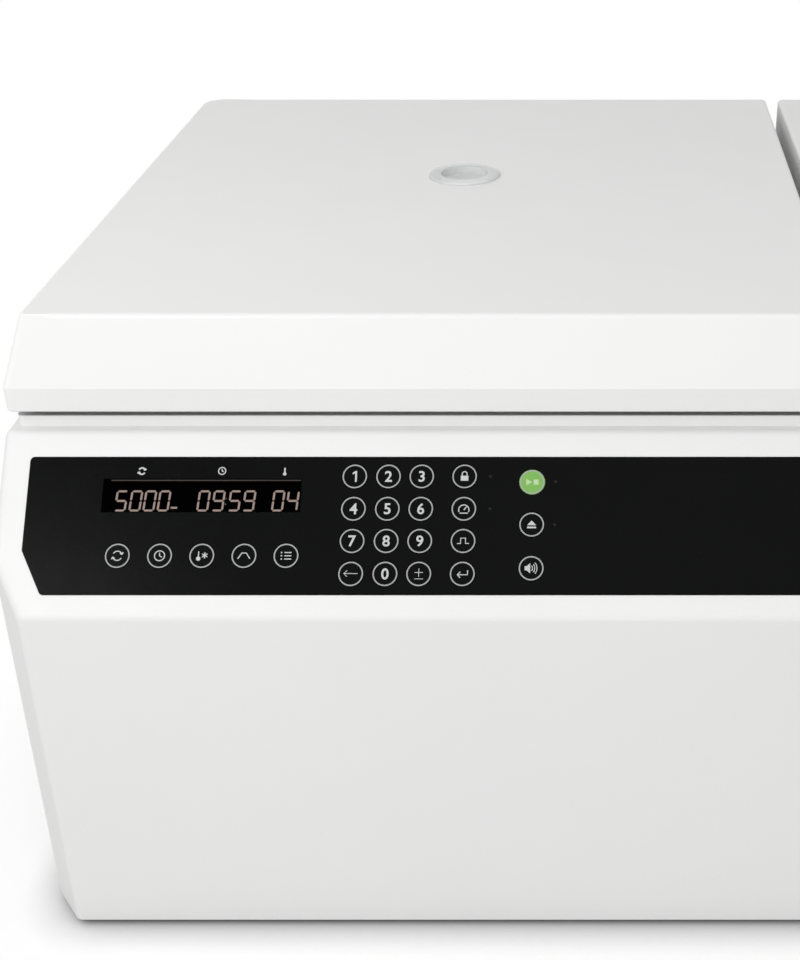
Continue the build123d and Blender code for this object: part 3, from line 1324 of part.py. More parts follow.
with BuildPart() as power_switch:
    with BuildSketch(ROCKER_PLANE):
        Circle(ROCKER_R)
        with Locations((ROCKER_BACK_X, 0)):
            Rectangle(*ROCKER_BACK_CUT, mode=Mode.SUBTRACT)
        for side in (-1, 1):
            with BuildLine():
                Polyline(
                    (ROCKER_FLAT, 0),
                    (ROCKER_FLAT + FACE_REACH * sin(radians(ROCKER_TILT)), side * FACE_REACH),
                    (ROCKER_FLAT + FACE_PAST, side * FACE_REACH),
                    (ROCKER_FLAT + FACE_PAST, 0),
                    close=True,
                )
            make_face(mode=Mode.SUBTRACT)
    extrude(amount=ROCKER_W / 2, both=True)
    with BuildSketch(Plane.YZ.offset(INLET_X)):
        with Locations((SWITCH_Y, SWITCH_Z)):
            Circle(ROCKER_PIN_R)
    extrude(amount=SWITCH[0] / 2 + ROCKER_PIN_PAST, both=True)
power_switch.part.label = "power_switch"
export_step(power_switch.part, "parts/power_switch.step")
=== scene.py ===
from math import cos, radians, sin, tau

import bmesh
import bpy
from bpy.props import FloatProperty, FloatVectorProperty, PointerProperty
from mathutils import Matrix, Vector


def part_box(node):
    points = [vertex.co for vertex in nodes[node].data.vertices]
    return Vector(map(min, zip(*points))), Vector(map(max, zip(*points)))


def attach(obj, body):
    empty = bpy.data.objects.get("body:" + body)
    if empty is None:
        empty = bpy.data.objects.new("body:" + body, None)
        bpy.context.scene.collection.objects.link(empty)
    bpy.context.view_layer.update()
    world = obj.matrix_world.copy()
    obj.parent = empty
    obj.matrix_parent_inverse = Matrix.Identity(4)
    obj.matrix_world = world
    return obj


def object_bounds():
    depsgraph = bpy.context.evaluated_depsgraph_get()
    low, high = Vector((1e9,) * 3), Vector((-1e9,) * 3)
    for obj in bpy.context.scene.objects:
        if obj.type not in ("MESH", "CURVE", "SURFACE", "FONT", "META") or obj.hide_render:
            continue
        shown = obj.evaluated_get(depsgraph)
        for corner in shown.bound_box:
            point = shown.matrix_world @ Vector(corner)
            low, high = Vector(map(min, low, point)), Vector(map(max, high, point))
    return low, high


bl_info = {
    "name": "Bench centrifuge finish",
    "version": (1, 0, 0),
    "blender": (4, 5, 0),
    "location": "3D View > Sidebar > Centrifuge",
    "description": "Finishes, prints and fittings for a refrigerated bench centrifuge",
    "category": "Object",
}

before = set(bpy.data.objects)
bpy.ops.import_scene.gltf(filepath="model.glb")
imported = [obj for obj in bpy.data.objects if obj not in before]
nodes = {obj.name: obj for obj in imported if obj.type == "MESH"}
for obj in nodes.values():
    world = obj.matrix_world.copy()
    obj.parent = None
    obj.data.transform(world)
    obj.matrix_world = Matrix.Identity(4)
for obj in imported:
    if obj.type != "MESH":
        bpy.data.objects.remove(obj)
cad_low, cad_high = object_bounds()

# Sizes and places in this file are in millimetres, and Blender's own in metres
MM = 0.001

# The sloping control face: x runs to the right, t up the slope from the crease
LEAN = radians(43.0)
CREASE = Vector((0.0, cad_low.y, 230.7 * MM))
OVERLAY_FACE = 0.4 * MM
PANEL = Matrix((
    (1.0, 0.0, 0.0, CREASE.x),
    (0.0, sin(LEAN), -cos(LEAN), CREASE.y),
    (0.0, cos(LEAN), sin(LEAN), CREASE.z),
    (0.0, 0.0, 0.0, 1.0),
))

# The rotor's axis, through the middle of the drive shaft
shaft_low, shaft_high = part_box("drive_shaft")
AXIS = Vector(((shaft_low.x + shaft_high.x) / 2, (shaft_low.y + shaft_high.y) / 2, 0.0))


# Settings

COLOUR = {"size": 3, "subtype": "COLOR", "min": 0, "max": 1}
WATTS = {"min": 0, "max": 500}


class CentrifugeFinish(bpy.types.PropertyGroup):
    """Colours of the painted, printed and moulded surfaces"""

    # The shell and the lid share one white paint; the shell's colour is set darker as painted shade for the
    # front and walls, and the lid's lighter as painted light for the top
    shell: FloatVectorProperty(
        name="Shell", description="Colour of the white front and walls",
        default=(0.786, 0.786, 0.782), **COLOUR)
    lid: FloatVectorProperty(
        name="Lid", description="Colour of the white lid, neck and cover",
        default=(0.843, 0.843, 0.838), **COLOUR)
    overlay: FloatVectorProperty(
        name="Overlay", description="Colour of the black film on the control face",
        default=(0.0012, 0.0013, 0.0014), **COLOUR)
    ink: FloatVectorProperty(
        name="Ink", description="Colour of the numbers and pictograms",
        default=(0.55, 0.56, 0.56), **COLOUR)
    ring_ink: FloatVectorProperty(
        name="Ring ink", description="Colour of the rings",
        default=(0.37, 0.375, 0.375), **COLOUR)
    start_key: FloatVectorProperty(
        name="Start key", description="Colour of the start key's cap",
        default=(0.182, 0.43, 0.081), **COLOUR)
    lit_segment: FloatVectorProperty(
        name="Lit segment", description="Colour of the display's numbers",
        default=(0.36, 0.27, 0.235), **COLOUR)


class CentrifugePrint(bpy.types.PropertyGroup):
    """Sizes of the print on the control face"""

    ring_width: FloatProperty(
        name="Ring width", description="Width of the ring printed on each key",
        default=0.75 * MM, min=0.2 * MM, max=3 * MM, unit="LENGTH")
    ink_height: FloatProperty(
        name="Ink height", description="How far the ink stands above the film",
        default=0.05 * MM, min=0.01 * MM, max=0.3 * MM, unit="LENGTH")
    number_height: FloatProperty(
        name="Number height", description="Height of the numbers on the keys",
        default=6.6 * MM, min=2 * MM, max=12 * MM, unit="LENGTH")
    line_width: FloatProperty(
        name="Line width", description="Width of the pictograms' lines",
        default=0.6 * MM, min=0.2 * MM, max=2 * MM, unit="LENGTH")
    segment_width: FloatProperty(
        name="Segment width", description="Width of one segment of the display",
        default=1.15 * MM, min=0.3 * MM, max=3 * MM, unit="LENGTH")
    segment_slant: FloatProperty(
        name="Slant", description="How far the display's numbers lean",
        default=radians(5), min=0, max=radians(20), subtype="ANGLE")


class CentrifugeStage(bpy.types.PropertyGroup):
    """Camera, lamps and floor"""

    camera_place: FloatVectorProperty(
        name="Camera place", description="Where the camera stands",
        default=(0.0, -1.062, 0.718), size=3, subtype="XYZ", unit="LENGTH")
    camera_tilt: FloatProperty(
        name="Tilt", description="How far the camera looks down",
        default=radians(27.67), min=0, max=radians(90), subtype="ANGLE")
    lens: FloatProperty(
        name="Lens", description="Focal length over a 36 mm sensor, in millimetres",
        default=59.44, min=20, max=200)
    shift: FloatProperty(
        name="Shift", description="Sideways shift of the picture",
        default=-0.2125, min=-1, max=1)
    sky_level: FloatProperty(
        name="Sky level", description="Strength of the even light from all round",
        default=0.53, min=0, max=2)
    key_lamp: FloatProperty(
        name="Key lamp", description="Power of the soft lamp high at the front left, in watts",
        default=6.4, **WATTS)
    high_lamp: FloatProperty(
        name="High lamp", description="Power of the soft lamp high in front, in watts",
        default=9.1, **WATTS)
    low_lamp: FloatProperty(
        name="Low lamp", description="Power of the soft lamp low in front, in watts",
        default=4.2, **WATTS)
    side_lamp: FloatProperty(
        name="Side lamp", description="Power of the soft lamp at the left, in watts",
        default=2.0, **WATTS)
    floor_lift: FloatProperty(
        name="Floor lift", description="How much the floor is lightened for the camera",
        default=0.22, min=0, max=1)


# Nodes

# Nearly all of a noise texture's values lie between these two
NOISE_LOW = 0.3
NOISE_HIGH = 0.7

# The range of a value or a colour that goes from nothing to full
FULL_RANGE = (0.0, 1.0)

# Places of a colour mix's sockets, whose names the node's other sockets have too
MIX_FACTOR, MIX_FIRST, MIX_SECOND, MIX_RESULT = 0, 6, 7, 2


def feed(tree, socket, source):
    """Gives an input a plain value, or links it to another node's output."""
    if isinstance(source, bpy.types.NodeSocket):
        tree.links.new(source, socket)
    else:
        socket.default_value = source


def adjust(tree, made, **settings):
    """Sets a node's attributes, and its inputs where no attribute has the name."""
    for key, value in settings.items():
        if hasattr(made, key):
            setattr(made, key, value)
        else:
            feed(tree, made.inputs[key.replace("_", " ")], value)


def node(tree, kind, **settings):
    """A new node with its settings."""
    made = tree.nodes.new(kind)
    adjust(tree, made, **settings)
    return made


def maths(tree, operation, *values, kind="ShaderNodeMath"):
    """The result of one operation on plain values or outputs."""
    made = node(tree, kind, operation=operation)
    for socket, value in zip(made.inputs, values):
        feed(tree, socket, value)
    return made.outputs["Value"] if operation == "LENGTH" else made.outputs[0]


def spread(tree, source, to_low, to_high, low=NOISE_LOW, high=NOISE_HIGH):
    """A value taken from one range to another."""
    scale = node(
        tree, "ShaderNodeMapRange", Value=source,
        From_Min=low, From_Max=high, To_Min=to_low, To_Max=to_high)
    return scale.outputs["Result"]


def relief(tree, height, distance, strength):
    """The normal of a small relief."""
    return node(tree, "ShaderNodeBump", Distance=distance, Strength=strength, Height=height).outputs["Normal"]


def new_group(name, inputs, outputs):
    """A shader node group with named sockets, its given values and its end node."""
    group = bpy.data.node_groups.new(name, "ShaderNodeTree")
    for in_out, sockets in (("INPUT", inputs), ("OUTPUT", outputs)):
        for label, kind in sockets.items():
            group.interface.new_socket(name=label, in_out=in_out, socket_type=f"NodeSocket{kind}")
    given = group.nodes.new("NodeGroupInput").outputs
    return group, given, group.nodes.new("NodeGroupOutput")


def make_surface_group(name, step, marks, drift=None, smear=None):
    """Fine marks in relief, with a tone that drifts and a gloss that is smeared.

    Each of the three is a noise's settings. Without drift and smear, tone and gloss follow the marks."""
    group, given, end = new_group(
        name,
        {"Vector": "Vector", "Scale": "Float", "Depth": "Float",
         "Gloss low": "Float", "Gloss high": "Float", "Tone low": "Float"},
        {"Roughness": "Float", "Normal": "Vector", "Tone": "Float"},
    )
    fine, slow, smeared = (
        values and node(group, "ShaderNodeTexNoise", Vector=given["Vector"], **values).outputs["Fac"]
        for values in ({"Scale": given["Scale"], **marks}, drift, smear)
    )
    adjust(
        group, end, Normal=relief(group, fine, step, given["Depth"]),
        Roughness=spread(group, smeared or fine, given["Gloss low"], given["Gloss high"]),
        Tone=spread(group, slow or fine, given["Tone low"], 1.0))
    return group


# How much of the angle round the axis is left in the marks of a turned surface
TURNING_DRIFT = 0.004


def make_turning_group():
    """Vector for marks left by turning: distance from the axis, slow drift round it, height along it."""
    group, given, end = new_group("turning_vector", {"Vector": "Vector"}, {"Vector": "Vector"})
    parts = node(group, "ShaderNodeSeparateXYZ", Vector=given["Vector"]).outputs
    flat = node(group, "ShaderNodeCombineXYZ", X=parts["X"], Y=parts["Y"])
    angle = maths(group, "ARCTAN2", parts["Y"], parts["X"])
    joined = node(
        group, "ShaderNodeCombineXYZ",
        X=maths(group, "LENGTH", flat.outputs[0], kind="ShaderNodeVectorMath"),
        Y=maths(group, "MULTIPLY", angle, TURNING_DRIFT),
        Z=parts["Z"])
    adjust(group, end, Vector=joined.outputs[0])
    return group


# Materials

WHITE = (1.0, 1.0, 1.0, 1.0)

# Shader values of the black film, the printed ink and the compressor's enamel
FILM = {"Specular_IOR_Level": 0.035}
INK = {"Specular_IOR_Level": 0.2}
ENAMEL = {"Coat_Weight": 0.4, "Coat_Roughness": 0.1}

groups = {}
materials = {}


def start_material(name, colour, **shader):
    """A node material, its tree and its Principled shader with plain values."""
    material = bpy.data.materials.new(name)
    material.use_nodes = True
    material.diffuse_color = (*colour, 1.0)
    tree = material.node_tree
    principled = tree.nodes["Principled BSDF"]
    adjust(tree, principled, Base_Color=(*colour, 1.0), **shader)
    materials[name] = material
    return tree, principled


def mixed(tree, factor, first, second, blend="MIX"):
    """Two colours mixed; each is a plain colour or an output."""
    mix = node(tree, "ShaderNodeMix", data_type="RGBA", blend_type=blend)
    for place, value in ((MIX_FACTOR, factor), (MIX_FIRST, first), (MIX_SECOND, second)):
        feed(tree, mix.inputs[place], value)
    return mix.outputs[MIX_RESULT]


def toned(tree, colour, tone):
    """A colour darkened a little where the tone is low."""
    return mixed(tree, 1.0, (*colour, 1.0), tone, blend="MULTIPLY")


def object_vector(tree, centre=(0, 0, 0), turn=(0, 0, 0), stretch=(1, 1, 1)):
    """Object coordinates, centred on a place, turned and stretched."""
    coordinates = node(tree, "ShaderNodeTexCoord")
    mapping = node(
        tree, "ShaderNodeMapping", vector_type="TEXTURE", Vector=coordinates.outputs["Object"],
        Location=centre, Rotation=turn, Scale=stretch)
    return mapping.outputs["Vector"]


def noise(tree, **settings):
    """A noise pattern on object coordinates."""
    return node(tree, "ShaderNodeTexNoise", Vector=object_vector(tree), **settings).outputs["Fac"]


def surfaced(name, colour, group, scale, depth, gloss, tone_low, turned=False, stretch=(1, 1, 1), **shader):
    """A surface with grain, or with marks along one direction or round the rotor's axis."""
    tree, principled = start_material(name, colour, **shader)
    vector = object_vector(tree, centre=AXIS if turned else (0, 0, 0), stretch=stretch)
    if turned:
        turning = node(tree, "ShaderNodeGroup", node_tree=groups["turning"], Vector=vector)
        vector = turning.outputs["Vector"]
    effect = node(
        tree, "ShaderNodeGroup", node_tree=groups[group], Vector=vector, Scale=scale, Depth=depth,
        Gloss_low=gloss[0], Gloss_high=gloss[1], Tone_low=tone_low).outputs
    adjust(
        tree, principled, Roughness=effect["Roughness"], Normal=effect["Normal"],
        Base_Color=toned(tree, colour, effect["Tone"]))


def spangled(name, colour):
    """Zinc coating: large crystals, each with its own tone and gloss."""
    tree, principled = start_material(name, colour, Metallic=0.9)
    crystals = node(tree, "ShaderNodeTexVoronoi", Scale=70.0, Vector=object_vector(tree)).outputs["Color"]
    adjust(
        tree, principled, Roughness=spread(tree, crystals, 0.36, 0.58, *FULL_RANGE),
        Base_Color=toned(tree, colour, spread(tree, crystals, 0.72, 1.0, *FULL_RANGE)))


def foamed(name, colour):
    """Cut foam: open cells as pits in the surface."""
    tree, principled = start_material(name, colour, Roughness=0.9, Specular_IOR_Level=0.2)
    cells = node(tree, "ShaderNodeTexVoronoi", Scale=420.0, Vector=object_vector(tree)).outputs["Distance"]
    adjust(
        tree, principled, Normal=relief(tree, cells, distance=0.6 * MM, strength=0.7),
        Base_Color=toned(tree, colour, spread(tree, cells, 1.0, 0.72, 0.0, 0.6)))


def traced(name, colour, trace_colour):
    """Circuit board: solder mask over paler copper tracks."""
    tree, principled = start_material(name, colour, Coat_Weight=0.3, Coat_Roughness=0.2)
    tracks = node(
        tree, "ShaderNodeTexBrick", Scale=42.0, Mortar_Size=0.035, Mortar=WHITE, Color1=(0, 0, 0, 1),
        Color2=(0.12, 0.12, 0.12, 1), Vector=object_vector(tree, turn=(LEAN, 0, 0))).outputs["Color"]
    adjust(
        tree, principled, Normal=relief(tree, tracks, distance=0.1 * MM, strength=0.6),
        Roughness=spread(tree, tracks, 0.4, 0.28, *FULL_RANGE),
        Base_Color=mixed(tree, tracks, (*colour, 1.0), (*trace_colour, 1.0)))


def lit(name, colour):
    """Lit number segments, a little uneven like a backlight."""
    tree, principled = start_material(
        name, (0.05, 0.04, 0.035), Roughness=0.5, Specular_IOR_Level=0.05, Emission_Strength=0.85)
    uneven = noise(tree, Scale=220.0, Detail=3.0)
    adjust(tree, principled, Emission_Color=toned(tree, colour, spread(tree, uneven, 0.84, 1.0)))


def clear(name, colour):
    """Clear moulded window: mostly see-through, with faint flow marks in its gloss."""
    tree, principled = start_material(name, colour, Alpha=0.62)
    flow = noise(tree, Scale=60.0, Detail=2.0)
    adjust(
        tree, principled, Roughness=spread(tree, flow, 0.05, 0.1),
        Normal=relief(tree, flow, distance=0.2 * MM, strength=0.08))


def make_materials(finish):
    """Every finish, under its name."""
    groups["grain"] = make_surface_group(
        "surface_grain", MM, marks={"Detail": 2.0},
        drift={"Scale": 7.0, "Detail": 4.0}, smear={"Scale": 38.0, "Detail": 5.0})
    groups["stroke"] = make_surface_group("stroke_marks", 0.5 * MM, marks={"Detail": 6.0, "Roughness": 0.6})
    groups["turning"] = make_turning_group()

    # Painted, moulded and printed: colour, grain, depth, range of roughness, lowest tone, shader values
    for name, colour, grain, depth, gloss, tone_low, shader in (
        # shell_paint and lid_moulding are one white; the shell's is darker by painted shade and the lid's
        # lighter by painted light
        ("shell_paint", finish.shell, 620, 0.05, (0.42, 0.5), 0.985, {}),
        ("lid_moulding", finish.lid, 700, 0.045, (0.4, 0.48), 0.985, {}),
        ("rear_coat", (0.70, 0.70, 0.69), 480, 0.16, (0.45, 0.6), 0.97, {}),
        ("overlay_film", finish.overlay, 1500, 0.05, (0.22, 0.3), 0.9, FILM),
        ("key_film", finish.overlay, 1500, 0.05, (0.22, 0.3), 0.9, FILM),
        ("start_cap", finish.start_key, 1200, 0.03, (0.35, 0.45), 0.94, {"Specular_IOR_Level": 0.25}),
        ("print_ink", finish.ink, 2200, 0.04, (0.5, 0.6), 0.96, INK),
        ("ring_ink", finish.ring_ink, 2200, 0.04, (0.5, 0.6), 0.96, INK),
        ("pale_ink", (0.46, 0.62, 0.38), 2200, 0.04, (0.5, 0.6), 0.96, INK),
        ("display_glass", (0.0006, 0.0006, 0.0006), 60, 0.004, (0.06, 0.1), 0.8, {"Specular_IOR_Level": 0.0}),
        ("lamp_lens", (0.008, 0.008, 0.009), 900, 0.03, (0.2, 0.3), 0.8, {"Specular_IOR_Level": 0.1}),
        ("edge_tint", (0.05, 0.043, 0.038), 300, 0.02, (0.4, 0.5), 0.6, {"Specular_IOR_Level": 0.1}),
        ("motor_paint", (0.055, 0.06, 0.066), 300, 0.3, (0.4, 0.58), 0.85, {}),
        ("compressor_enamel", (0.012, 0.012, 0.013), 120, 0.05, (0.12, 0.25), 0.85, ENAMEL),
        ("rubber", (0.016, 0.016, 0.017), 420, 0.2, (0.62, 0.8), 0.85, {}),
        ("moulded_black", (0.018, 0.018, 0.019), 520, 0.14, (0.42, 0.55), 0.9, {}),
        ("spring_black", (0.012, 0.012, 0.013), 300, 0.03, (0.16, 0.26), 0.9, {}),
        ("chip_black", (0.022, 0.022, 0.024), 900, 0.1, (0.4, 0.5), 0.9, {}),
    ):
        surfaced(name, colour, "grain", grain, depth, gloss, tone_low, **shader)

    # Bare metal: colour, marks, depth, range of roughness, lowest tone, turned or not, stretch of the marks
    for name, colour, marks, depth, gloss, tone_low, turned, stretch in (
        ("bowl_steel", (0.62, 0.62, 0.62), 420, 0.01, (0.24, 0.3), 0.95, True, (1, 1, 1.5)),
        ("liner_steel", (0.60, 0.60, 0.61), 700, 0.05, (0.26, 0.36), 0.9, False, (40, 1, 1)),
        ("rotor_alloy", (0.46, 0.47, 0.49), 700, 0.04, (0.3, 0.4), 0.9, True, (1, 1, 3)),
        ("bucket_alloy", (0.20, 0.21, 0.23), 900, 0.04, (0.32, 0.42), 0.88, False, (1, 1, 0.05)),
        ("fin_alloy", (0.62, 0.63, 0.64), 600, 0.08, (0.3, 0.45), 0.8, False, (1, 8, 1)),
        ("plated", (0.66, 0.66, 0.66), 500, 0.04, (0.18, 0.3), 0.9, False, (1, 1, 4)),
        ("hub_steel", (0.52, 0.53, 0.54), 1400, 0.05, (0.18, 0.28), 0.88, True, (1, 1, 3)),
        ("copper", (0.62, 0.27, 0.16), 260, 0.05, (0.25, 0.42), 0.7, False, (1, 1, 1)),
        ("blank_plate", (0.58, 0.58, 0.58), 500, 0.05, (0.3, 0.42), 0.9, False, (30, 1, 1)),
    ):
        surfaced(name, colour, "stroke", marks, depth, gloss, tone_low, turned, stretch, Metallic=1.0)

    spangled("chassis_zinc", (0.50, 0.51, 0.52))
    foamed("foam", (0.66, 0.55, 0.34))
    traced("board_mask", (0.012, 0.11, 0.05), (0.02, 0.19, 0.085))
    lit("lit_segments", finish.lit_segment)
    clear("clear_window", (0.94, 0.955, 0.955))


# The parts that have each finish; the keys that no line names have the black film
FINISHED_PARTS = {
    "shell_paint": ("cabinet_shell",),
    "lid_moulding": ("top_deck", "compressor_cover", "lid_shell"),
    "rear_coat": ("rear_panel",),
    "chassis_zinc": ("chassis",),
    "rubber": ("rubber_feet", "chamber_seal"),
    "overlay_film": ("control_overlay",),
    "board_mask": ("control_board", "power_board"),
    "bowl_steel": ("rotor_bowl",),
    "foam": ("bowl_insulation",),
    "motor_paint": ("drive_motor",),
    "compressor_enamel": ("compressor",),
    "fin_alloy": ("condenser",),
    "copper": ("refrigerant_pipes",),
    "moulded_black": ("fan_shroud", "fan_blades", "power_inlet", "power_switch"),
    "plated": ("lock_housing", "lock_hook", "lid_striker", "hinge_arms", "hinge_brackets", "gas_spring_rod"),
    "spring_black": ("gas_spring_tube",),
    "liner_steel": ("lid_liner",),
    "clear_window": ("viewport_window",),
    "hub_steel": ("drive_shaft",),
    "rotor_alloy": ("swing_rotor",),
    "bucket_alloy": ("bucket_1", "bucket_2", "bucket_3", "bucket_4"),
    "start_cap": ("key_start_stop",),
}


class CENTRIFUGE_OT_finishes(bpy.types.Operator):
    """Give every part of the machine its finish"""

    bl_idname = "centrifuge.finishes"
    bl_label = "Finishes"

    def execute(self, context):
        make_materials(context.scene.centrifuge_finish)
        finish_of = {part: finish for finish, parts in FINISHED_PARTS.items() for part in parts}
        for name, part in nodes.items():
            part.data.materials.clear()
            part.data.materials.append(materials[finish_of.get(name, "key_film")])
        return {"FINISHED"}


# Shapes

# Vertices closer than the first are one, and in the mesh of a curve or text closer than the second
MERGE, CURVE_MERGE = 1e-7, 1e-8


def make_piece(name, material, shapes, body="cabinet", smooth_below=35):
    """One piece at the origin from (shape, place) pairs, turned outwards and riding on its body."""
    bm = bmesh.new()
    for shape, place in shapes:
        shape.transform(place)
        mesh = bpy.data.meshes.new("shape")
        shape.to_mesh(mesh)
        shape.free()
        bm.from_mesh(mesh)
        bpy.data.meshes.remove(mesh)
    bmesh.ops.remove_doubles(bm, verts=bm.verts, dist=MERGE)
    bmesh.ops.recalc_face_normals(bm, faces=bm.faces)
    mesh = bpy.data.meshes.new(name)
    bm.to_mesh(mesh)
    bm.free()
    mesh.materials.append(materials[material])
    mesh.shade_smooth()
    mesh.set_sharp_from_angle(angle=radians(smooth_below))
    piece = bpy.data.objects.new(name, mesh)
    bpy.context.scene.collection.objects.link(piece)
    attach(piece, body)


def at(x, y, z):
    """A place given in millimetres."""
    return Matrix.Translation((x * MM, y * MM, z * MM))


def turned_by(degrees, axis):
    """A turn round one axis."""
    return Matrix.Rotation(radians(degrees), 4, axis)


def on_panel(x, t, above=0.0):
    """A place on the overlay's face, or so far above it, given in millimetres."""
    return PANEL @ Matrix.Translation((x * MM, t * MM, OVERLAY_FACE)) @ at(0, 0, above)


def on_axis(x, y, z):
    """A place given in millimetres from the rotor's axis."""
    return Matrix.Translation(AXIS) @ at(x, y, z)


def facing_back(x, z, y):
    """A place on the back, whose z axis points backwards, given in millimetres."""
    return at(x, y, z) @ turned_by(-90, "X")


def corners_of(points):
    """Lowest and highest corner of the box round some points."""
    return tuple(Vector([pick(point[i] for point in points) for i in range(3)]) for pick in (min, max))


def revolve(profile, steps=48, joined=True):
    """A turned shape from (radius, height) points in millimetres."""
    bm = bmesh.new()
    verts = [bm.verts.new((radius * MM, 0.0, height * MM)) for radius, height in profile]
    edges = [bm.edges.new(pair) for pair in zip(verts, verts[1:])]
    if joined:
        edges.append(bm.edges.new((verts[-1], verts[0])))
    bmesh.ops.spin(
        bm, geom=[*verts, *edges], cent=(0, 0, 0), axis=(0, 0, 1),
        angle=tau, steps=steps, use_merge=True)
    bmesh.ops.remove_doubles(bm, verts=bm.verts, dist=MERGE)
    bmesh.ops.recalc_face_normals(bm, faces=bm.faces)
    return bm


def ring(outer, inner, low, high, edge=0.0, steps=48):
    """A flat ring with softened upper edges, in millimetres."""
    top = [(outer - edge, high), (inner + edge, high), (inner, high - edge)] if edge else [(inner, high)]
    return revolve([(inner, low), (outer, low), (outer, high - edge), *top], steps)


def disc(radius, low, high, edge=0.0, steps=32):
    """A round button with a softened upper edge, in millimetres."""
    rim = [(radius, high - edge), (radius - edge, high)] if edge else [(radius, high)]
    return revolve([(0.0, low), (radius, low), *rim, (0.0, high)], steps, joined=False)


def block(size, edge):
    """A block with softened edges, in millimetres."""
    bm = bmesh.new()
    bmesh.ops.create_cube(bm, size=MM, matrix=Matrix.Diagonal((*size, 1.0)))
    bmesh.ops.bevel(
        bm, geom=bm.edges[:], offset=edge * MM, offset_type="OFFSET", affect="EDGES",
        segments=2, profile=0.5, material=-1, clamp_overlap=True)
    return bm


def prism(corners, low, high):
    """A flat shape of a few corners raised between two heights, in millimetres."""
    bm = bmesh.new()
    face = bm.faces.new([bm.verts.new((x * MM, y * MM, low * MM)) for x, y in corners])
    raised = bmesh.ops.extrude_face_region(bm, geom=[face], use_keep_orig=True)
    top = [v for v in raised["geom"] if isinstance(v, bmesh.types.BMVert)]
    bmesh.ops.translate(bm, verts=top, vec=(0, 0, (high - low) * MM))
    bmesh.ops.recalc_face_normals(bm, faces=bm.faces)
    return bm


def from_curve(curve):
    """A curve's or a text's solid as a bmesh."""
    shape = bpy.data.objects.new("shape", curve)
    bpy.context.scene.collection.objects.link(shape)
    depsgraph = bpy.context.evaluated_depsgraph_get()
    mesh = bpy.data.meshes.new_from_object(shape.evaluated_get(depsgraph))
    bm = bmesh.new()
    bm.from_mesh(mesh)
    bpy.data.objects.remove(shape)
    bpy.data.meshes.remove(mesh)
    bpy.data.curves.remove(curve)
    bmesh.ops.remove_doubles(bm, verts=bm.verts, dist=CURVE_MERGE)
    return bm


def number(text, height, low, high, weight=0.018):
    """A printed number, centred, with the given height and ink levels in millimetres."""
    curve = bpy.data.curves.new("number", "FONT")
    curve.body = text
    curve.offset = weight
    curve.extrude = 0.5
    curve.resolution_u = 4
    bm = from_curve(curve)
    low_corner, high_corner = corners_of([v.co for v in bm.verts])
    scale = height * MM / (high_corner.y - low_corner.y)
    bmesh.ops.translate(bm, verts=bm.verts, vec=-(low_corner + high_corner) / 2)
    bmesh.ops.scale(bm, verts=bm.verts, vec=(scale, scale, (high - low) * MM))
    bmesh.ops.translate(bm, verts=bm.verts, vec=(0, 0, (high + low) / 2 * MM))
    return bm


def pen(lines, width, low, high):
    """Printed lines with round ends; lines are lists of (x, y) points in millimetres."""
    curve = bpy.data.curves.new("lines", "CURVE")
    curve.dimensions = "3D"
    curve.bevel_depth = width / 2 * MM
    curve.bevel_resolution = 2
    curve.use_fill_caps = True
    for points in lines:
        joined = points[0] == points[-1] and len(points) > 2
        kept = points[:-1] if joined else points
        spline = curve.splines.new("POLY")
        spline.points.add(len(kept) - 1)
        spline.use_cyclic_u = joined
        for point, (x, y) in zip(spline.points, kept):
            point.co = (x * MM, y * MM, 0.0, 1.0)
    bm = from_curve(curve)
    bmesh.ops.scale(bm, verts=bm.verts, vec=(1, 1, (high - low) / width))
    bmesh.ops.translate(bm, verts=bm.verts, vec=(0, 0, (high + low) / 2 * MM))
    return bm


def point_at(x, y, distance, degrees):
    """The point so far from another, in a direction in degrees."""
    return (x + distance * cos(radians(degrees)), y + distance * sin(radians(degrees)))


def arc(x, y, radius, start, end, steps=16):
    """Points along an arc, with its angles in degrees."""
    return [point_at(x, y, radius, start + (end - start) * i / steps) for i in range(steps + 1)]


def round_area(x, y, radius, steps=28):
    """Corners of a round area, each one once."""
    return arc(x, y, radius, 0, 360, steps)[:-1]


def circle(x, y, radius):
    """Points round a circle, the first one again at the end."""
    points = round_area(x, y, radius)
    return [*points, points[0]]


# Radius and height of the screws' heads, and how far their foot is sunk
SCREWS = {
    "deck": (4.4, 2.4), "liner": (4.6, 2.2), "striker": (3.2, 1.8), "back": (4.2, 2.2),
    "cover": (2.6, 1.4), "inlet": (2.4, 1.3), "hinge": (3.4, 1.8),
}
HEAD_SUNK = 0.3

# Rounded edge and socket's depth as shares of the head's height, and its rim as a share of the radius
HEAD_EDGE, SOCKET_DEEP, SOCKET_RIM = 0.45, 0.5, 0.22


def screw(kind):
    """A button-head screw with a round socket."""
    radius, height = SCREWS[kind]
    bm = disc(radius, -HEAD_SUNK, height, edge=height * HEAD_EDGE, steps=24)
    flat = [f for f in bm.faces if all(v.co.z > height * MM - MERGE for v in f.verts)]
    bmesh.ops.dissolve_faces(bm, faces=flat)
    cap = max(bm.faces, key=lambda f: f.calc_center_median().z)
    bmesh.ops.inset_individual(bm, faces=[cap], thickness=radius * SOCKET_RIM * MM)
    sunk = bmesh.ops.extrude_discrete_faces(bm, faces=[cap])["faces"]
    bmesh.ops.translate(bm, verts=sunk[0].verts[:], vec=(0, 0, -height * SOCKET_DEEP * MM))
    return bm


# Print on the control face

DIGITS = "0123456789"

# How far the ink reaches into the film, and the printed ring in from the cap's edge
INK_LOW = -0.02
RING_INSET = 0.3

# A part's outermost face is all that is less than this under its outermost point
FACE_DEPTH = 0.01 * MM


def top_corners(name):
    """Corners of the box round a part's outermost face, in the frame of the control face."""
    to_panel = PANEL.inverted()
    points = [to_panel @ vertex.co for vertex in nodes[name].data.vertices]
    top = max(point.z for point in points) - FACE_DEPTH
    return corners_of([point for point in points if point.z > top])


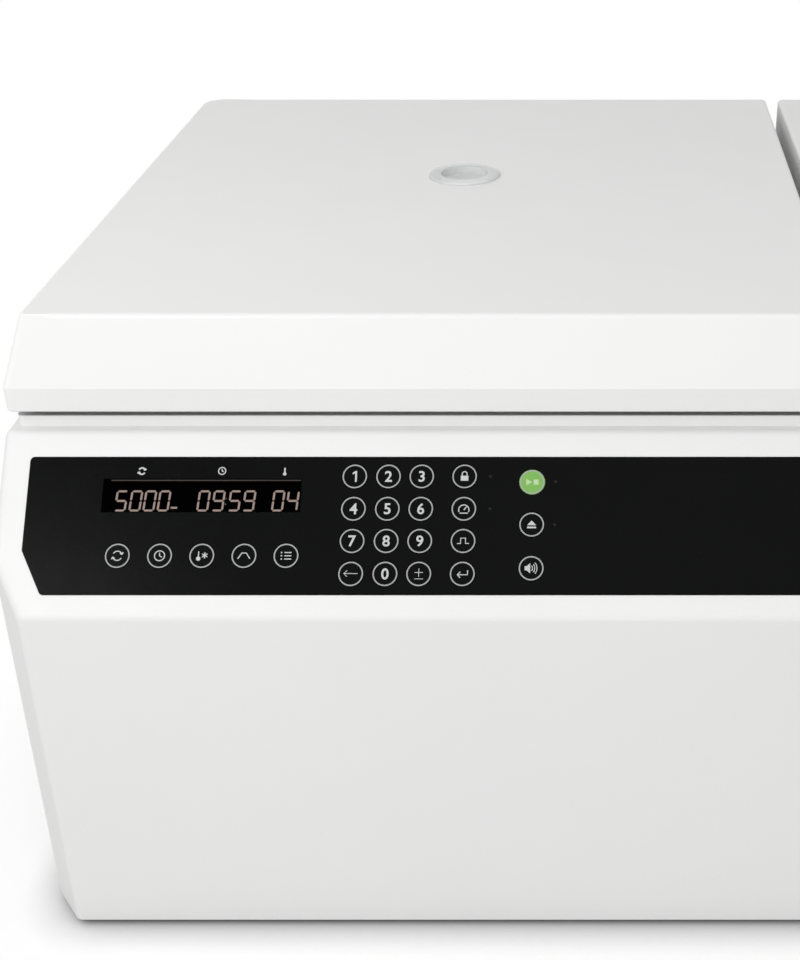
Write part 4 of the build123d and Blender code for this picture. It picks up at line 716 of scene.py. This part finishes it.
def snowflake(x, y, radius):
    """Three lines crossing in the middle."""
    return [[point_at(x, y, size, turn) for size in (radius, -radius)] for turn in (30, 90, 150)]


# Where the arcs of the turning arrows start, how far they run and how wide their heads open, in degrees
ARROW_STARTS, ARROW_RUN, ARROW_OPEN = (15, 195), 135, 38


def turning_arrows(radius, head):
    """Two arcs that chase each other, each with an arrow head."""
    lines = []
    for start in ARROW_STARTS:
        points = arc(0, 0, radius, start, start + ARROW_RUN)
        lines.append(points)
        for side in (-ARROW_OPEN, ARROW_OPEN):
            lines.append([points[0], point_at(*points[0], head, start + 90 + side)])
    return lines


def clock(radius, up, right, down):
    """A clock's circle and its two hands."""
    return [circle(0, 0, radius), [(0, up), (0, 0), (right, -down)]]


def box_area(left, foot, right, top):
    """Corners of an upright rectangle."""
    return [(left, foot), (right, foot), (right, top), (left, top)]


# The one, drawn with its flag; the other numbers are the built-in font's
ONE = [(0.2, -3.3), (1.25, -3.3), (1.25, 3.3), (0.4, 3.3), (-1.3, 2.15), (-1.3, 1.15), (0.2, 1.95)]

# Each pictogram is its lines and its filled areas, in millimetres from the key's middle
PICTOGRAMS = {
    "back": (
        [[(3.95, 0.2), (-3.95, 0.2)], [(-2.1, 2.0), (-3.95, 0.2), (-2.1, -1.6)]], []),
    "sign": (
        [[(-2.4, 0.8), (2.4, 0.8)], [(0, 3.2), (0, -1.6)], [(-2.5, -2.9), (2.5, -2.9)]], []),
    "lock": (
        [[(-1.4, 0.4), *arc(0, 1.5, 1.4, 180, 0), (1.4, 0.4)]], [box_area(-2.2, -2.6, 2.2, 0.4)]),
    "set_speed": (
        [arc(0, -0.7, 3.0, 205, -25), [(0, -0.7), (1.5, 1.2)], [(-2.4, -2.6), (2.4, -2.6)]], []),
    "pulse": (
        [[(-3.4, -1.5), (-1.4, -1.5), (-1.4, 1.7), (1.4, 1.7), (1.4, -1.5), (3.4, -1.5)]], []),
    "enter": (
        [[(3.0, 2.1), (3.0, -0.5), (-2.9, -0.5)], [(-1.2, 1.2), (-2.9, -0.5), (-1.2, -2.2)]], []),
    "start_stop": (
        [], [[(-3.4, -1.9), (0.0, 0.0), (-3.4, 1.9)], box_area(0.9, -1.6, 3.8, 1.6)]),
    "open": (
        [], [[(-2.6, -0.4), (2.6, -0.4), (0, 2.4)], box_area(-2.6, -2.2, 2.6, -1.2)]),
    "sound": (
        [arc(-1.4, 0, radius, -42, 42) for radius in (2.2, 3.5, 4.8)],
        [[(-3.7, -1.2), (-2.6, -1.2), (-0.5, -3.0), (-0.5, 3.0), (-2.6, 1.2), (-3.7, 1.2)]]),
    "speed": (turning_arrows(2.7, 1.5), []),
    "time": (clock(2.9, 1.8, 1.4, 0.8), []),
    "temperature": (
        [[(-1.9, -0.8), (-1.9, 2.6)], *snowflake(1.7, 0.2, 1.8)], [round_area(-1.9, -1.7, 1.25)]),
    "ramp": ([[(-3.5, -1.8), (-1.3, 1.6), (1.3, 1.6), (3.5, -1.8)]], []),
    "program": (
        [[(-0.9, y), (3.1, y)] for y in (1.9, 0.0, -1.9)],
        [round_area(-2.6, y, 0.45, 10) for y in (1.9, 0.0, -1.9)]),
}

# Keys whose pictogram has thinner lines, as a share of the line width
THIN_LINES = {"back": 0.65, "sign": 0.6, "sound": 0.8}


def pictogram(lines, areas, place, width, high):
    """The shapes of one pictogram, each with its place on the face."""
    shapes = [(pen(lines, width, INK_LOW, high), place)] if lines else []
    return shapes + [(prism(corners, INK_LOW, high), place) for corners in areas]


class CENTRIFUGE_OT_key_prints(bpy.types.Operator):
    """Print the ring and the number or pictogram on every key"""

    bl_idname = "centrifuge.key_prints"
    bl_label = "Key prints"

    def execute(self, context):
        sizes = context.scene.centrifuge_print
        high = sizes.ink_height / MM
        for label in (*DIGITS, *PICTOGRAMS):
            key = f"key_{label}"
            if key not in nodes:
                raise RuntimeError(f"the machine has no key named {key}")
            low_corner, high_corner = top_corners(key)
            middle = (low_corner + high_corner) / 2 / MM
            place = on_panel(middle.x, middle.y)
            radius = (high_corner.x - low_corner.x) / 2 / MM - RING_INSET
            band = ring(radius, radius - sizes.ring_width / MM, INK_LOW, high, steps=64)
            make_piece(f"{key}_ring", "ring_ink", [(band, place)], key)
            if label == "1":
                shapes = [(prism(ONE, INK_LOW, high), place)]
            elif label in DIGITS:
                shapes = [(number(label, sizes.number_height / MM, INK_LOW, high), place)]
            else:
                width = sizes.line_width / MM * THIN_LINES.get(label, 1.0)
                shapes = pictogram(*PICTOGRAMS[label], place, width, high)
            ink, slot = ("pale_ink", "green_key") if label == "start_stop" else ("print_ink", "black_key")
            make_piece(f"{key}_print", ink, shapes, key)
        return {"FINISHED"}


# Display, icons and lamps

# The bars that are lit in each number, and where each number stands along the display
BARS = {"0": "abcdef", "4": "bcfg", "5": "acdfg", "9": "abcdfg"}
NUMBER_PLACES = (
    ("5", -279.4), ("0", -270.9), ("0", -262.8), ("0", -254.6),
    ("0", -231.7), ("9", -223.1), ("5", -213.7), ("9", -205.3),
    ("0", -188.5), ("4", -180.2),
)
GLASS_TOP = -0.02
NUMBER_FOOT = 62.6
NUMBER_TALL = 12.6
NUMBER_WIDE = 6.9
BAR_GAP = 0.18
LIT_LEVELS = (-0.03, 0.02)
DASH_AT = (-248.6, 64.8)
DASH_LONG = 3.7
COLON_AT = ((-219.0, 66.9), (-219.0, 70.3))
COLON_RADIUS = 0.6

# The dim line over the numbers: place up the face, width, how much shorter than the glass, shift
RULE_AT, RULE_WIDE, RULE_SHORT, RULE_RIGHT = 81.2, 0.7, 4.5, 2.0

# Each icon over the display: its lines, its areas, its place and the width of its lines
FACE_ICONS = (
    (turning_arrows(1.9, 1.1), [], (-268.7, 86.8), 0.9),
    (clock(2.1, 1.2, 1.0, 0.6), [], (-222.1, 86.9), 0.6),
    ([[(0, -0.8), (0, 2.2)]], [round_area(0, -1.5, 1.0)], (-185.6, 86.6), 0.8),
)
LAMP_PLACES = ((-65.9, 83.6), (-65.9, 64.2), (-28.0, 80.4), (-28.4, 54.8))
LAMP = (0.9, -0.05, 0.08)


def bar_corners(start, end, width):
    """The six corners of one bar with pointed ends."""
    start, end = Vector(start), Vector(end)
    along = (end - start).normalized()
    across = Vector((-along.y, along.x)) * width / 2
    near = start + along * (width / 2 + BAR_GAP)
    far = end - along * (width / 2 + BAR_GAP)
    return [
        start + along * BAR_GAP, near - across, far - across,
        end - along * BAR_GAP, far + across, near + across,
    ]


def number_bars(width):
    """Start and end of the seven bars of a number, from its lower left corner."""
    left, right = width / 2, NUMBER_WIDE - width / 2
    foot, middle, top = width / 2, NUMBER_TALL / 2, NUMBER_TALL - width / 2
    return {
        "a": ((left, top), (right, top)),
        "b": ((right, middle), (right, top)),
        "c": ((right, foot), (right, middle)),
        "d": ((left, foot), (right, foot)),
        "e": ((left, foot), (left, middle)),
        "f": ((left, middle), (left, top)),
        "g": ((left, middle), (right, middle)),
    }


class CENTRIFUGE_OT_display(bpy.types.Operator):
    """Set the display's glass and its lit numbers in the overlay's window"""

    bl_idname = "centrifuge.display"
    bl_label = "Display"

    def execute(self, context):
        sizes = context.scene.centrifuge_print
        low, high = top_corners("control_board")
        middle = (low + high) / 2 / MM
        wide, tall, _ = (high - low) / MM
        glass_low = (high.z - OVERLAY_FACE) / MM
        thick = GLASS_TOP - glass_low
        glass = block((wide, tall, thick), edge=0.06)
        place = on_panel(middle.x, middle.y, glass_low + thick / 2)
        make_piece("display_glass", "display_glass", [(glass, place)])

        width = sizes.segment_width / MM
        bars = number_bars(width)
        shapes = []
        for text, x in NUMBER_PLACES:
            for name in BARS[text]:
                corners = [
                    (c.x - NUMBER_WIDE / 2 + (c.y - NUMBER_TALL / 2) * sin(sizes.segment_slant), c.y)
                    for c in bar_corners(*bars[name], width)
                ]
                shapes.append((prism(corners, *LIT_LEVELS), on_panel(x, NUMBER_FOOT)))
        depth, sunk = LIT_LEVELS[1] - LIT_LEVELS[0], sum(LIT_LEVELS) / 2
        shapes.append((block((DASH_LONG, width, depth), edge=0.01), on_panel(*DASH_AT, sunk)))
        make_piece("display_numbers", "lit_segments", shapes)

        shapes = [(disc(COLON_RADIUS, *LIT_LEVELS, steps=16), on_panel(x, t)) for x, t in COLON_AT]
        rule = block((wide - RULE_SHORT, RULE_WIDE, depth), edge=0.01)
        shapes.append((rule, on_panel(middle.x + RULE_RIGHT, RULE_AT, sunk)))
        make_piece("display_dim_marks", "edge_tint", shapes)
        return {"FINISHED"}


class CENTRIFUGE_OT_face_prints(bpy.types.Operator):
    """Print the three icons over the display and set the four indicator lamps"""

    bl_idname = "centrifuge.face_prints"
    bl_label = "Icons and indicator lamps"

    def execute(self, context):
        high = context.scene.centrifuge_print.ink_height / MM
        make_piece("face_icons", "print_ink", [
            pair for lines, areas, spot, width in FACE_ICONS
            for pair in pictogram(lines, areas, on_panel(*spot), width, high)
        ])
        make_piece("indicator_lamps", "lamp_lens", [
            (disc(*LAMP, edge=0.05, steps=20), on_panel(x, t)) for x, t in LAMP_PLACES
        ])
        return {"FINISHED"}


# Chamber and lid fittings

# Four sizes of a ring are its outer and inner radius, foot and top; three of a disc are radius, foot and top

DECK_SCREWS = (
    (-325, -200), (-325, 60), (-325, 178), (-212, -205), (12, -205),
    (122, -200), (122, 60), (122, 262), (-200, 268), (0, 268),
)
WASHER = (6.0, 2.0, -0.1, 0.6)
BOWL_WALL = 1.5
SENSOR_AT = (-92, -88)
SENSOR_RING = (7.0, 3.0, -0.2, 1.0)
SENSOR_PROBE = (3.2, 0.0, 6.5)

# Radius and height of the boot round the shaft, up from the bowl's floor and back down inside
BOOT = (
    (27.8, -0.2), (34.0, -0.2), (34.5, 1.2), (32.0, 2.6), (29.0, 3.4), (30.2, 5.0), (28.0, 6.8),
    (23.0, 8.0), (24.2, 9.6), (21.0, 11.2), (13.5, 12.0), (12.6, 11.0), (12.6, 4.4), (27.0, 4.2),
)

LINER_SCREWS = ((-305, -192), (-305, 30), (-305, 248), (98, -192), (98, 30), (98, 248))
STRIKER_INSET = 5
STRIKER_PLATE = 3
WINDOW_SEAT = (27.0, 22.3, -1.6, 0.1)
BEAD = ((171.0, 0.1), (172.0, -0.7), (173.5, -1.2), (176.5, -1.2), (178.0, -0.7), (179.0, 0.1))

ROTOR_SHOULDER = 248.0
ROTOR_NUMBER = (11.0, -0.05, 0.1)
ROTOR_NUMBER_OUT = 40.5
BUCKET_RADIUS = 32.75
LIP_RADIUS = 1.5
PAD_RADIUS = 30.6
PAD_LEVELS = (2.6, 5.2)


class CENTRIFUGE_OT_deck_fittings(bpy.types.Operator):
    """Fit the deck's screws, the shaft's boot and the chamber's sensor"""

    bl_idname = "centrifuge.deck_fittings"
    bl_label = "Deck and chamber fittings"

    def execute(self, context):
        deck_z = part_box("top_deck")[1].z / MM
        shapes = []
        for x, y in DECK_SCREWS:
            shapes.append((ring(*WASHER, edge=0.2, steps=32), at(x, y, deck_z)))
            shapes.append((screw("deck"), at(x, y, deck_z + WASHER[-1])))
        make_piece("deck_screws", "plated", shapes)

        floor_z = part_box("rotor_bowl")[0].z / MM + BOWL_WALL
        boot = revolve([(radius, floor_z + up) for radius, up in BOOT], steps=64)
        make_piece("shaft_boot", "rubber", [(boot, on_axis(0, 0, 0))], smooth_below=60)

        place = on_axis(*SENSOR_AT, floor_z)
        make_piece("chamber_sensor", "plated", [
            (ring(*SENSOR_RING, edge=0.4, steps=32), place),
            (disc(*SENSOR_PROBE, edge=1.6, steps=24), place),
        ])
        return {"FINISHED"}


class CENTRIFUGE_OT_lid_fittings(bpy.types.Operator):
    """Fit the liner's screws and its pressed bead, the striker's screws and the window's seat"""

    bl_idname = "centrifuge.lid_fittings"
    bl_label = "Lid fittings"

    def execute(self, context):
        liner_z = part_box("lid_liner")[0].z / MM
        over = turned_by(180, "X")
        shapes = [(screw("liner"), at(x, y, liner_z) @ over) for x, y in LINER_SCREWS]
        low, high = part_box("lid_striker")
        y = (low.y + high.y) / 2 / MM
        for x in (low.x / MM + STRIKER_INSET, high.x / MM - STRIKER_INSET):
            shapes.append((screw("striker"), at(x, y, liner_z - STRIKER_PLATE) @ over))
        make_piece("liner_screws", "plated", shapes, "lid")

        place = on_axis(0, 0, liner_z)
        bead = revolve(BEAD, steps=128)
        seat = ring(*WINDOW_SEAT, steps=64)
        make_piece("liner_bead", "liner_steel", [(bead, place)], "lid", smooth_below=60)
        make_piece("window_seat", "rubber", [(seat, place)], "lid")
        return {"FINISHED"}


class CENTRIFUGE_OT_rotor_fittings(bpy.types.Operator):
    """Number the rotor's places and give each bucket its lip and its rubber pad"""

    bl_idname = "centrifuge.rotor_fittings"
    bl_label = "Rotor and bucket fittings"

    def execute(self, context):
        out = at(ROTOR_NUMBER_OUT, 0, ROTOR_SHOULDER) @ turned_by(-90, "Z")
        make_piece("rotor_numbers", "chip_black", [
            (number(str(i + 1), *ROTOR_NUMBER, weight=0.03), on_axis(0, 0, 0) @ turned_by(90 * i, "Z") @ out)
            for i in range(4)
        ], "drive")
        for bucket in ("bucket_1", "bucket_2", "bucket_3", "bucket_4"):
            low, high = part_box(bucket)
            centre = (low + high) / 2
            place = Matrix.Translation((centre.x, centre.y, 0))
            lip = revolve(round_area(BUCKET_RADIUS, high.z / MM, LIP_RADIUS, 12), steps=64)
            make_piece(f"{bucket}_lip", "bucket_alloy", [(lip, place)], bucket, smooth_below=60)
            pad_low, pad_high = (low.z / MM + level for level in PAD_LEVELS)
            pad = disc(PAD_RADIUS, pad_low, pad_high, edge=0.8, steps=48)
            make_piece(f"{bucket}_pad", "rubber", [(pad, place)], bucket)
        return {"FINISHED"}


# Back and machine room fittings

REAR_FACE = 298.0
BACK_SCREWS = [(x, z) for x in (-336, -112, 112, 336) for z in (17, 292)] + [(-336, 155), (336, 155)]
HINGE_X = (-262, 60)
HINGE_SCREWS = [(x + side, 289.6, 315.25) for x in HINGE_X for side in (-4.6, 4.6)]
HINGE_PIN = (295, 331)
HINGE_HALF = 16.4
PIN_HEAD = (4.8, -0.2, 1.6)

# Bare plate and port cover: place, size, and how far each rivet or screw is from the middle
PLATE_AT, PLATE_SIZE, PLATE_RIVETS = (-60, 205), (96, 54, 0.8), (44, 23)
RIVET = (1.8, 0.0, 0.9)
COVER_AT, COVER_SIZE, COVER_SCREWS = (-60, 92), (60, 26, 1.6), 24
COVER_SUNK = 0.1
EARTH_AT = (-165, 56)
EARTH_WASHER = (7.0, 3.0, -0.1, 1.2)
EARTH_NUT_RADIUS, EARTH_NUT_TOP = 5.8, 6.2
EARTH_STUD = (3.0, 0.0, 11.0)

INLET_SCREWS_OUT, INLET_SCREWS_UP = 18.4, 82
INLET_BLADES = ((-7, 66.5), (7, 66.5), (0, 60.5))
BLADE_SIZE = (2.3, 13.6, 6.3)
BLADE_SUNK = 9.4
ROCKER_AT = (288, 101)
ROCKER_TILT = 9
ROCKER_DEEP = 8.5
MARK_UP = 6.2
MARK_WIDTH, MARK_LEVELS = 0.7, (-0.05, 0.12)
SWITCH_MARKS = ((1, [[(0, -2.2), (0, 2.2)]]), (-1, [circle(0, 0, 2.1)]))

COMPRESSOR_AT = (245, 170)
WELD_RADIUS, WELD_UP, WELD_THICK = 62.2, 108, 1.8
STUB, STUB_SUNK = (4.0, 0.0, 9.0), 0.5
COMPRESSOR_BOX, COMPRESSOR_BOX_AT = (34, 26, 52), (245, 100, 96)
MOTOR_BOX, MOTOR_BOX_AT = (30, 18, 38), (74, 0, 60)
KEY_CHIPS = ((-290, 22), (-250, 22), (-200, 22), (-160, 90), (-60, 22), (-32, 90))
KEY_CHIP_SIZE = (14, 10, 3)
KEY_BOARD_BACK = -10.2
POWER_CHIPS = (
    (-85, -265, (16, 16, 12)), (-85, -240, (10, 8, 4)), (-190, -203, (12, 8, 4)), (-175, -190, (10, 6, 4)),
)
POWER_BOARD_TOP = 18.6
SPRING_TOP = Vector((-331.0, 205.0, 331.0)) * MM
SPRING_FOOT = Vector((-331.0, 269.1, 234.4)) * MM
SPRING_COLLAR = (9.5, 4.3, 12.6, 17.0)


class CENTRIFUGE_OT_back_fittings(bpy.types.Operator):
    """Fit the back's screws and pin heads, its two plates, earth stud, inlet blades and switch marks"""

    bl_idname = "centrifuge.back_fittings"
    bl_label = "Back fittings"

    def execute(self, context):
        low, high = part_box("power_inlet")
        inlet_x = (low.x + high.x) / 2 / MM
        inlet_y = high.y / MM
        shapes = [(screw("back"), facing_back(x, z, REAR_FACE)) for x, z in BACK_SCREWS]
        for side in (-1, 1):
            x = COVER_AT[0] + side * COVER_SCREWS
            face = REAR_FACE + COVER_SIZE[2] - COVER_SUNK
            shapes.append((screw("cover"), facing_back(x, COVER_AT[1], face)))
        for side in (-1, 1):
            x = inlet_x + side * INLET_SCREWS_OUT
            shapes.append((screw("inlet"), facing_back(x, INLET_SCREWS_UP, inlet_y)))
        shapes += [(screw("hinge"), at(*spot)) for spot in HINGE_SCREWS]
        make_piece("back_screws", "plated", shapes)

        make_piece("hinge_pin_heads", "plated", [
            (disc(*PIN_HEAD, edge=0.9, steps=28),
             at(x + side * HINGE_HALF, *HINGE_PIN) @ turned_by(90 * side, "Y"))
            for x in HINGE_X for side in (-1, 1)
        ])

        thick = PLATE_SIZE[2]
        shapes = [(block(PLATE_SIZE, edge=0.25), facing_back(*PLATE_AT, REAR_FACE + thick / 2))]
        for x in (PLATE_AT[0] - PLATE_RIVETS[0], PLATE_AT[0] + PLATE_RIVETS[0]):
            for z in (PLATE_AT[1] - PLATE_RIVETS[1], PLATE_AT[1] + PLATE_RIVETS[1]):
                shapes.append((disc(*RIVET, edge=0.4, steps=20), facing_back(x, z, REAR_FACE + thick)))
        make_piece("bare_plate", "blank_plate", shapes)
        make_piece("port_cover", "rear_coat", [
            (block(COVER_SIZE, edge=0.4), facing_back(*COVER_AT, REAR_FACE + COVER_SIZE[2] / 2 - COVER_SUNK)),
        ])

        place = facing_back(*EARTH_AT, REAR_FACE)
        make_piece("earth_stud", "plated", [
            (ring(*EARTH_WASHER, edge=0.3, steps=32), place),
            (prism(round_area(0, 0, EARTH_NUT_RADIUS, 6), EARTH_WASHER[-1], EARTH_NUT_TOP), place),
            (disc(*EARTH_STUD, edge=0.6, steps=24), place),
        ])
        make_piece("inlet_blades", "plated", [
            (block(BLADE_SIZE, edge=0.4), at(inlet_x + x, inlet_y - BLADE_SUNK, z)) for x, z in INLET_BLADES
        ])

        shapes = []
        for side, lines in SWITCH_MARKS:
            out = ROCKER_DEEP + MARK_UP * sin(radians(ROCKER_TILT))
            face = at(0, out, side * MARK_UP) @ turned_by(-90 - side * ROCKER_TILT, "X")
            place = at(inlet_x, *ROCKER_AT) @ turned_by(ROCKER_TILT, "X") @ face
            shapes.append((pen(lines, MARK_WIDTH, *MARK_LEVELS), place))
        make_piece("switch_marks", "print_ink", shapes, "switch")
        return {"FINISHED"}


class CENTRIFUGE_OT_machine_fittings(bpy.types.Operator):
    """Fit the compressor's weld, the terminal covers, the boards' parts and the gas spring's collar"""

    bl_idname = "centrifuge.machine_fittings"
    bl_label = "Machine room fittings"

    def execute(self, context):
        top_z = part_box("compressor")[1].z / MM
        weld = revolve(round_area(WELD_RADIUS, WELD_UP, WELD_THICK, 10), steps=72)
        make_piece("compressor_weld", "compressor_enamel", [
            (weld, at(*COMPRESSOR_AT, 0)),
            (disc(*STUB, edge=1.0, steps=20), at(*COMPRESSOR_AT, top_z - STUB_SUNK)),
        ], smooth_below=60)
        make_piece("terminal_covers", "moulded_black", [
            (block(COMPRESSOR_BOX, edge=3), at(*COMPRESSOR_BOX_AT)),
            (block(MOTOR_BOX, edge=2), on_axis(*MOTOR_BOX_AT)),
        ])

        shapes = [(block(KEY_CHIP_SIZE, edge=0.4), PANEL @ at(x, t, KEY_BOARD_BACK)) for x, t in KEY_CHIPS]
        for x, y, size in POWER_CHIPS:
            shapes.append((block(size, edge=0.6), at(x, y, POWER_BOARD_TOP + size[2] / 2)))
        make_piece("board_chips", "chip_black", shapes)

        along = (SPRING_FOOT - SPRING_TOP).to_track_quat("Z", "Y").to_matrix().to_4x4()
        collar = ring(*SPRING_COLLAR, edge=0.6, steps=40)
        place = Matrix.Translation(SPRING_TOP) @ along
        make_piece("spring_collar", "plated", [(collar, place)], "spring_tube")
        return {"FINISHED"}


# Stage

SENSOR_WIDTH = 36.0

# Each lamp's name, width and place
LAMPS = (
    ("key", 0.3, (-0.92, -1.28, 1.38)),
    ("high", 1.4, (0.1, -1.5, 1.7)),
    ("low", 1.0, (0.0, -2.2, 0.5)),
    ("side", 0.8, (-1.1, -0.3, 1.1)),
)
LAMP_TARGET = Vector((-0.1, -0.2, 0.25))

FLOOR_COLOUR = (0.8, 0.8, 0.8)
FLOOR_HALF = 6.0

# The floor's own shade ends this far from the machine, and the contact shade reaches this far
FADE_NEAR = 0.012
FADE_FAR = 0.12
CONTACT_REACH = 0.03
CONTACT_POWER = 0.7


def add_lamp(name, power, size, place):
    """A soft square lamp that looks at the machine; the camera doesn't see it."""
    light = bpy.data.lights.new(name, "AREA")
    light.energy = power
    light.size = size
    lamp = bpy.data.objects.new(name, light)
    lamp.location = place
    lamp.rotation_euler = (LAMP_TARGET - Vector(place)).to_track_quat("-Z", "Y").to_euler()
    lamp.visible_camera = False
    bpy.context.scene.collection.objects.link(lamp)


def make_world(level):
    """White to the camera, in reflections and through clear parts, and an even light elsewhere."""
    world = bpy.data.worlds.new("studio")
    world.use_nodes = True
    tree = world.node_tree
    rays = node(tree, "ShaderNodeLightPath").outputs
    seen = maths(tree, "MAXIMUM", rays["Is Camera Ray"], rays["Is Glossy Ray"])
    direct = maths(tree, "MAXIMUM", seen, rays["Is Transmission Ray"])
    adjust(
        tree, tree.nodes["Background"], Color=WHITE,
        Strength=spread(tree, direct, level, 1.0, *FULL_RANGE))
    bpy.context.scene.world = world


def beyond_outline(tree, place):
    """Distance outside the machine's outline on the floor."""
    vector = {"kind": "ShaderNodeVectorMath"}
    size = maths(tree, "ABSOLUTE", place, **vector)
    outside = maths(tree, "SUBTRACT", size, (cad_high.x, cad_high.y, 0.0), **vector)
    beyond = maths(tree, "MAXIMUM", outside, (0.0, 0.0, 0.0), **vector)
    return maths(tree, "LENGTH", beyond, **vector)


def make_floor_material(lift):
    """Pale matt floor with fine grain and soft contact shade, plain white away from the machine."""
    tree, principled = start_material("floor", FLOOR_COLOUR, Roughness=0.9, Specular_IOR_Level=0.1)
    place = node(tree, "ShaderNodeTexCoord").outputs["Object"]
    grain = node(tree, "ShaderNodeTexNoise", Scale=160.0, Detail=3.0, Vector=place).outputs["Fac"]
    contact = node(tree, "ShaderNodeAmbientOcclusion", Distance=CONTACT_REACH).outputs["AO"]
    shade = maths(tree, "POWER", contact, CONTACT_POWER)
    shaded = maths(tree, "MULTIPLY", shade, spread(tree, grain, 0.985, 1.0))
    fade = spread(tree, beyond_outline(tree, place), 0.0, 1.0, FADE_NEAR, FADE_FAR)
    camera = node(tree, "ShaderNodeLightPath").outputs["Is Camera Ray"]
    glow = maths(tree, "MULTIPLY", camera, shade)
    adjust(
        tree, principled, Emission_Color=WHITE, Emission_Strength=maths(tree, "MULTIPLY", glow, lift),
        Base_Color=toned(tree, FLOOR_COLOUR, shaded))
    plain = node(tree, "ShaderNodeEmission", Color=WHITE, Strength=1.0)
    both = node(tree, "ShaderNodeMixShader", Fac=maths(tree, "MULTIPLY", camera, fade))
    feed(tree, both.inputs[1], principled.outputs[0])
    feed(tree, both.inputs[2], plain.outputs[0])
    adjust(tree, tree.nodes["Material Output"], Surface=both.outputs[0])


class CENTRIFUGE_OT_stage(bpy.types.Operator):
    """Set the camera, the lamps and the floor"""

    bl_idname = "centrifuge.stage"
    bl_label = "Stage"

    def execute(self, context):
        settings = context.scene.centrifuge_stage
        camera_data = bpy.data.cameras.new("camera")
        camera_data.lens = settings.lens
        camera_data.sensor_width = SENSOR_WIDTH
        camera_data.shift_x = settings.shift
        camera = bpy.data.objects.new("camera", camera_data)
        camera.location = settings.camera_place
        camera.rotation_euler = (radians(90) - settings.camera_tilt, 0.0, 0.0)
        context.scene.collection.objects.link(camera)
        context.scene.camera = camera

        for name, size, place in LAMPS:
            add_lamp(f"lamp_{name}", getattr(settings, f"{name}_lamp"), size, place)
        make_world(settings.sky_level)

        floor = bmesh.new()
        bmesh.ops.create_grid(floor, x_segments=1, y_segments=1, size=FLOOR_HALF)
        mesh = bpy.data.meshes.new("floor")
        floor.to_mesh(mesh)
        floor.free()
        make_floor_material(settings.floor_lift)
        mesh.materials.append(materials["floor"])
        ground = bpy.data.objects.new("floor", mesh)
        context.scene.collection.objects.link(ground)
        context.scene.view_settings.view_transform = "Standard"
        return {"FINISHED"}


# Panel and start

SETTINGS = (
    ("centrifuge_finish", CentrifugeFinish),
    ("centrifuge_print", CentrifugePrint),
    ("centrifuge_stage", CentrifugeStage),
)
OPERATORS = (
    CENTRIFUGE_OT_finishes,
    CENTRIFUGE_OT_key_prints,
    CENTRIFUGE_OT_display,
    CENTRIFUGE_OT_face_prints,
    CENTRIFUGE_OT_deck_fittings,
    CENTRIFUGE_OT_lid_fittings,
    CENTRIFUGE_OT_rotor_fittings,
    CENTRIFUGE_OT_back_fittings,
    CENTRIFUGE_OT_machine_fittings,
    CENTRIFUGE_OT_stage,
)


class CENTRIFUGE_PT_settings(bpy.types.Panel):
    """The centrifuge's settings and a button for each group of pieces"""

    bl_idname = "CENTRIFUGE_PT_settings"
    bl_label = "Centrifuge"
    bl_space_type = "VIEW_3D"
    bl_region_type = "UI"
    bl_category = "Centrifuge"

    def draw(self, context):
        for group, kind in SETTINGS:
            settings = getattr(context.scene, group)
            for name in kind.__annotations__:
                self.layout.prop(settings, name)
        for operator in OPERATORS:
            self.layout.operator(operator.bl_idname)


CLASSES = (*(kind for _, kind in SETTINGS), *OPERATORS, CENTRIFUGE_PT_settings)


def register():
    for kind in CLASSES:
        bpy.utils.register_class(kind)
    for group, kind in SETTINGS:
        setattr(bpy.types.Scene, group, PointerProperty(type=kind))


def unregister():
    for group, _ in SETTINGS:
        delattr(bpy.types.Scene, group)
    for kind in reversed(CLASSES):
        bpy.utils.unregister_class(kind)


def main():
    """Registers the add-on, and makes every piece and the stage."""
    register()
    bpy.ops.centrifuge.finishes()
    bpy.ops.centrifuge.key_prints()
    bpy.ops.centrifuge.display()
    bpy.ops.centrifuge.face_prints()
    bpy.ops.centrifuge.deck_fittings()
    bpy.ops.centrifuge.lid_fittings()
    bpy.ops.centrifuge.rotor_fittings()
    bpy.ops.centrifuge.back_fittings()
    bpy.ops.centrifuge.machine_fittings()
    bpy.ops.centrifuge.stage()


if __name__ == "__main__":
    main()
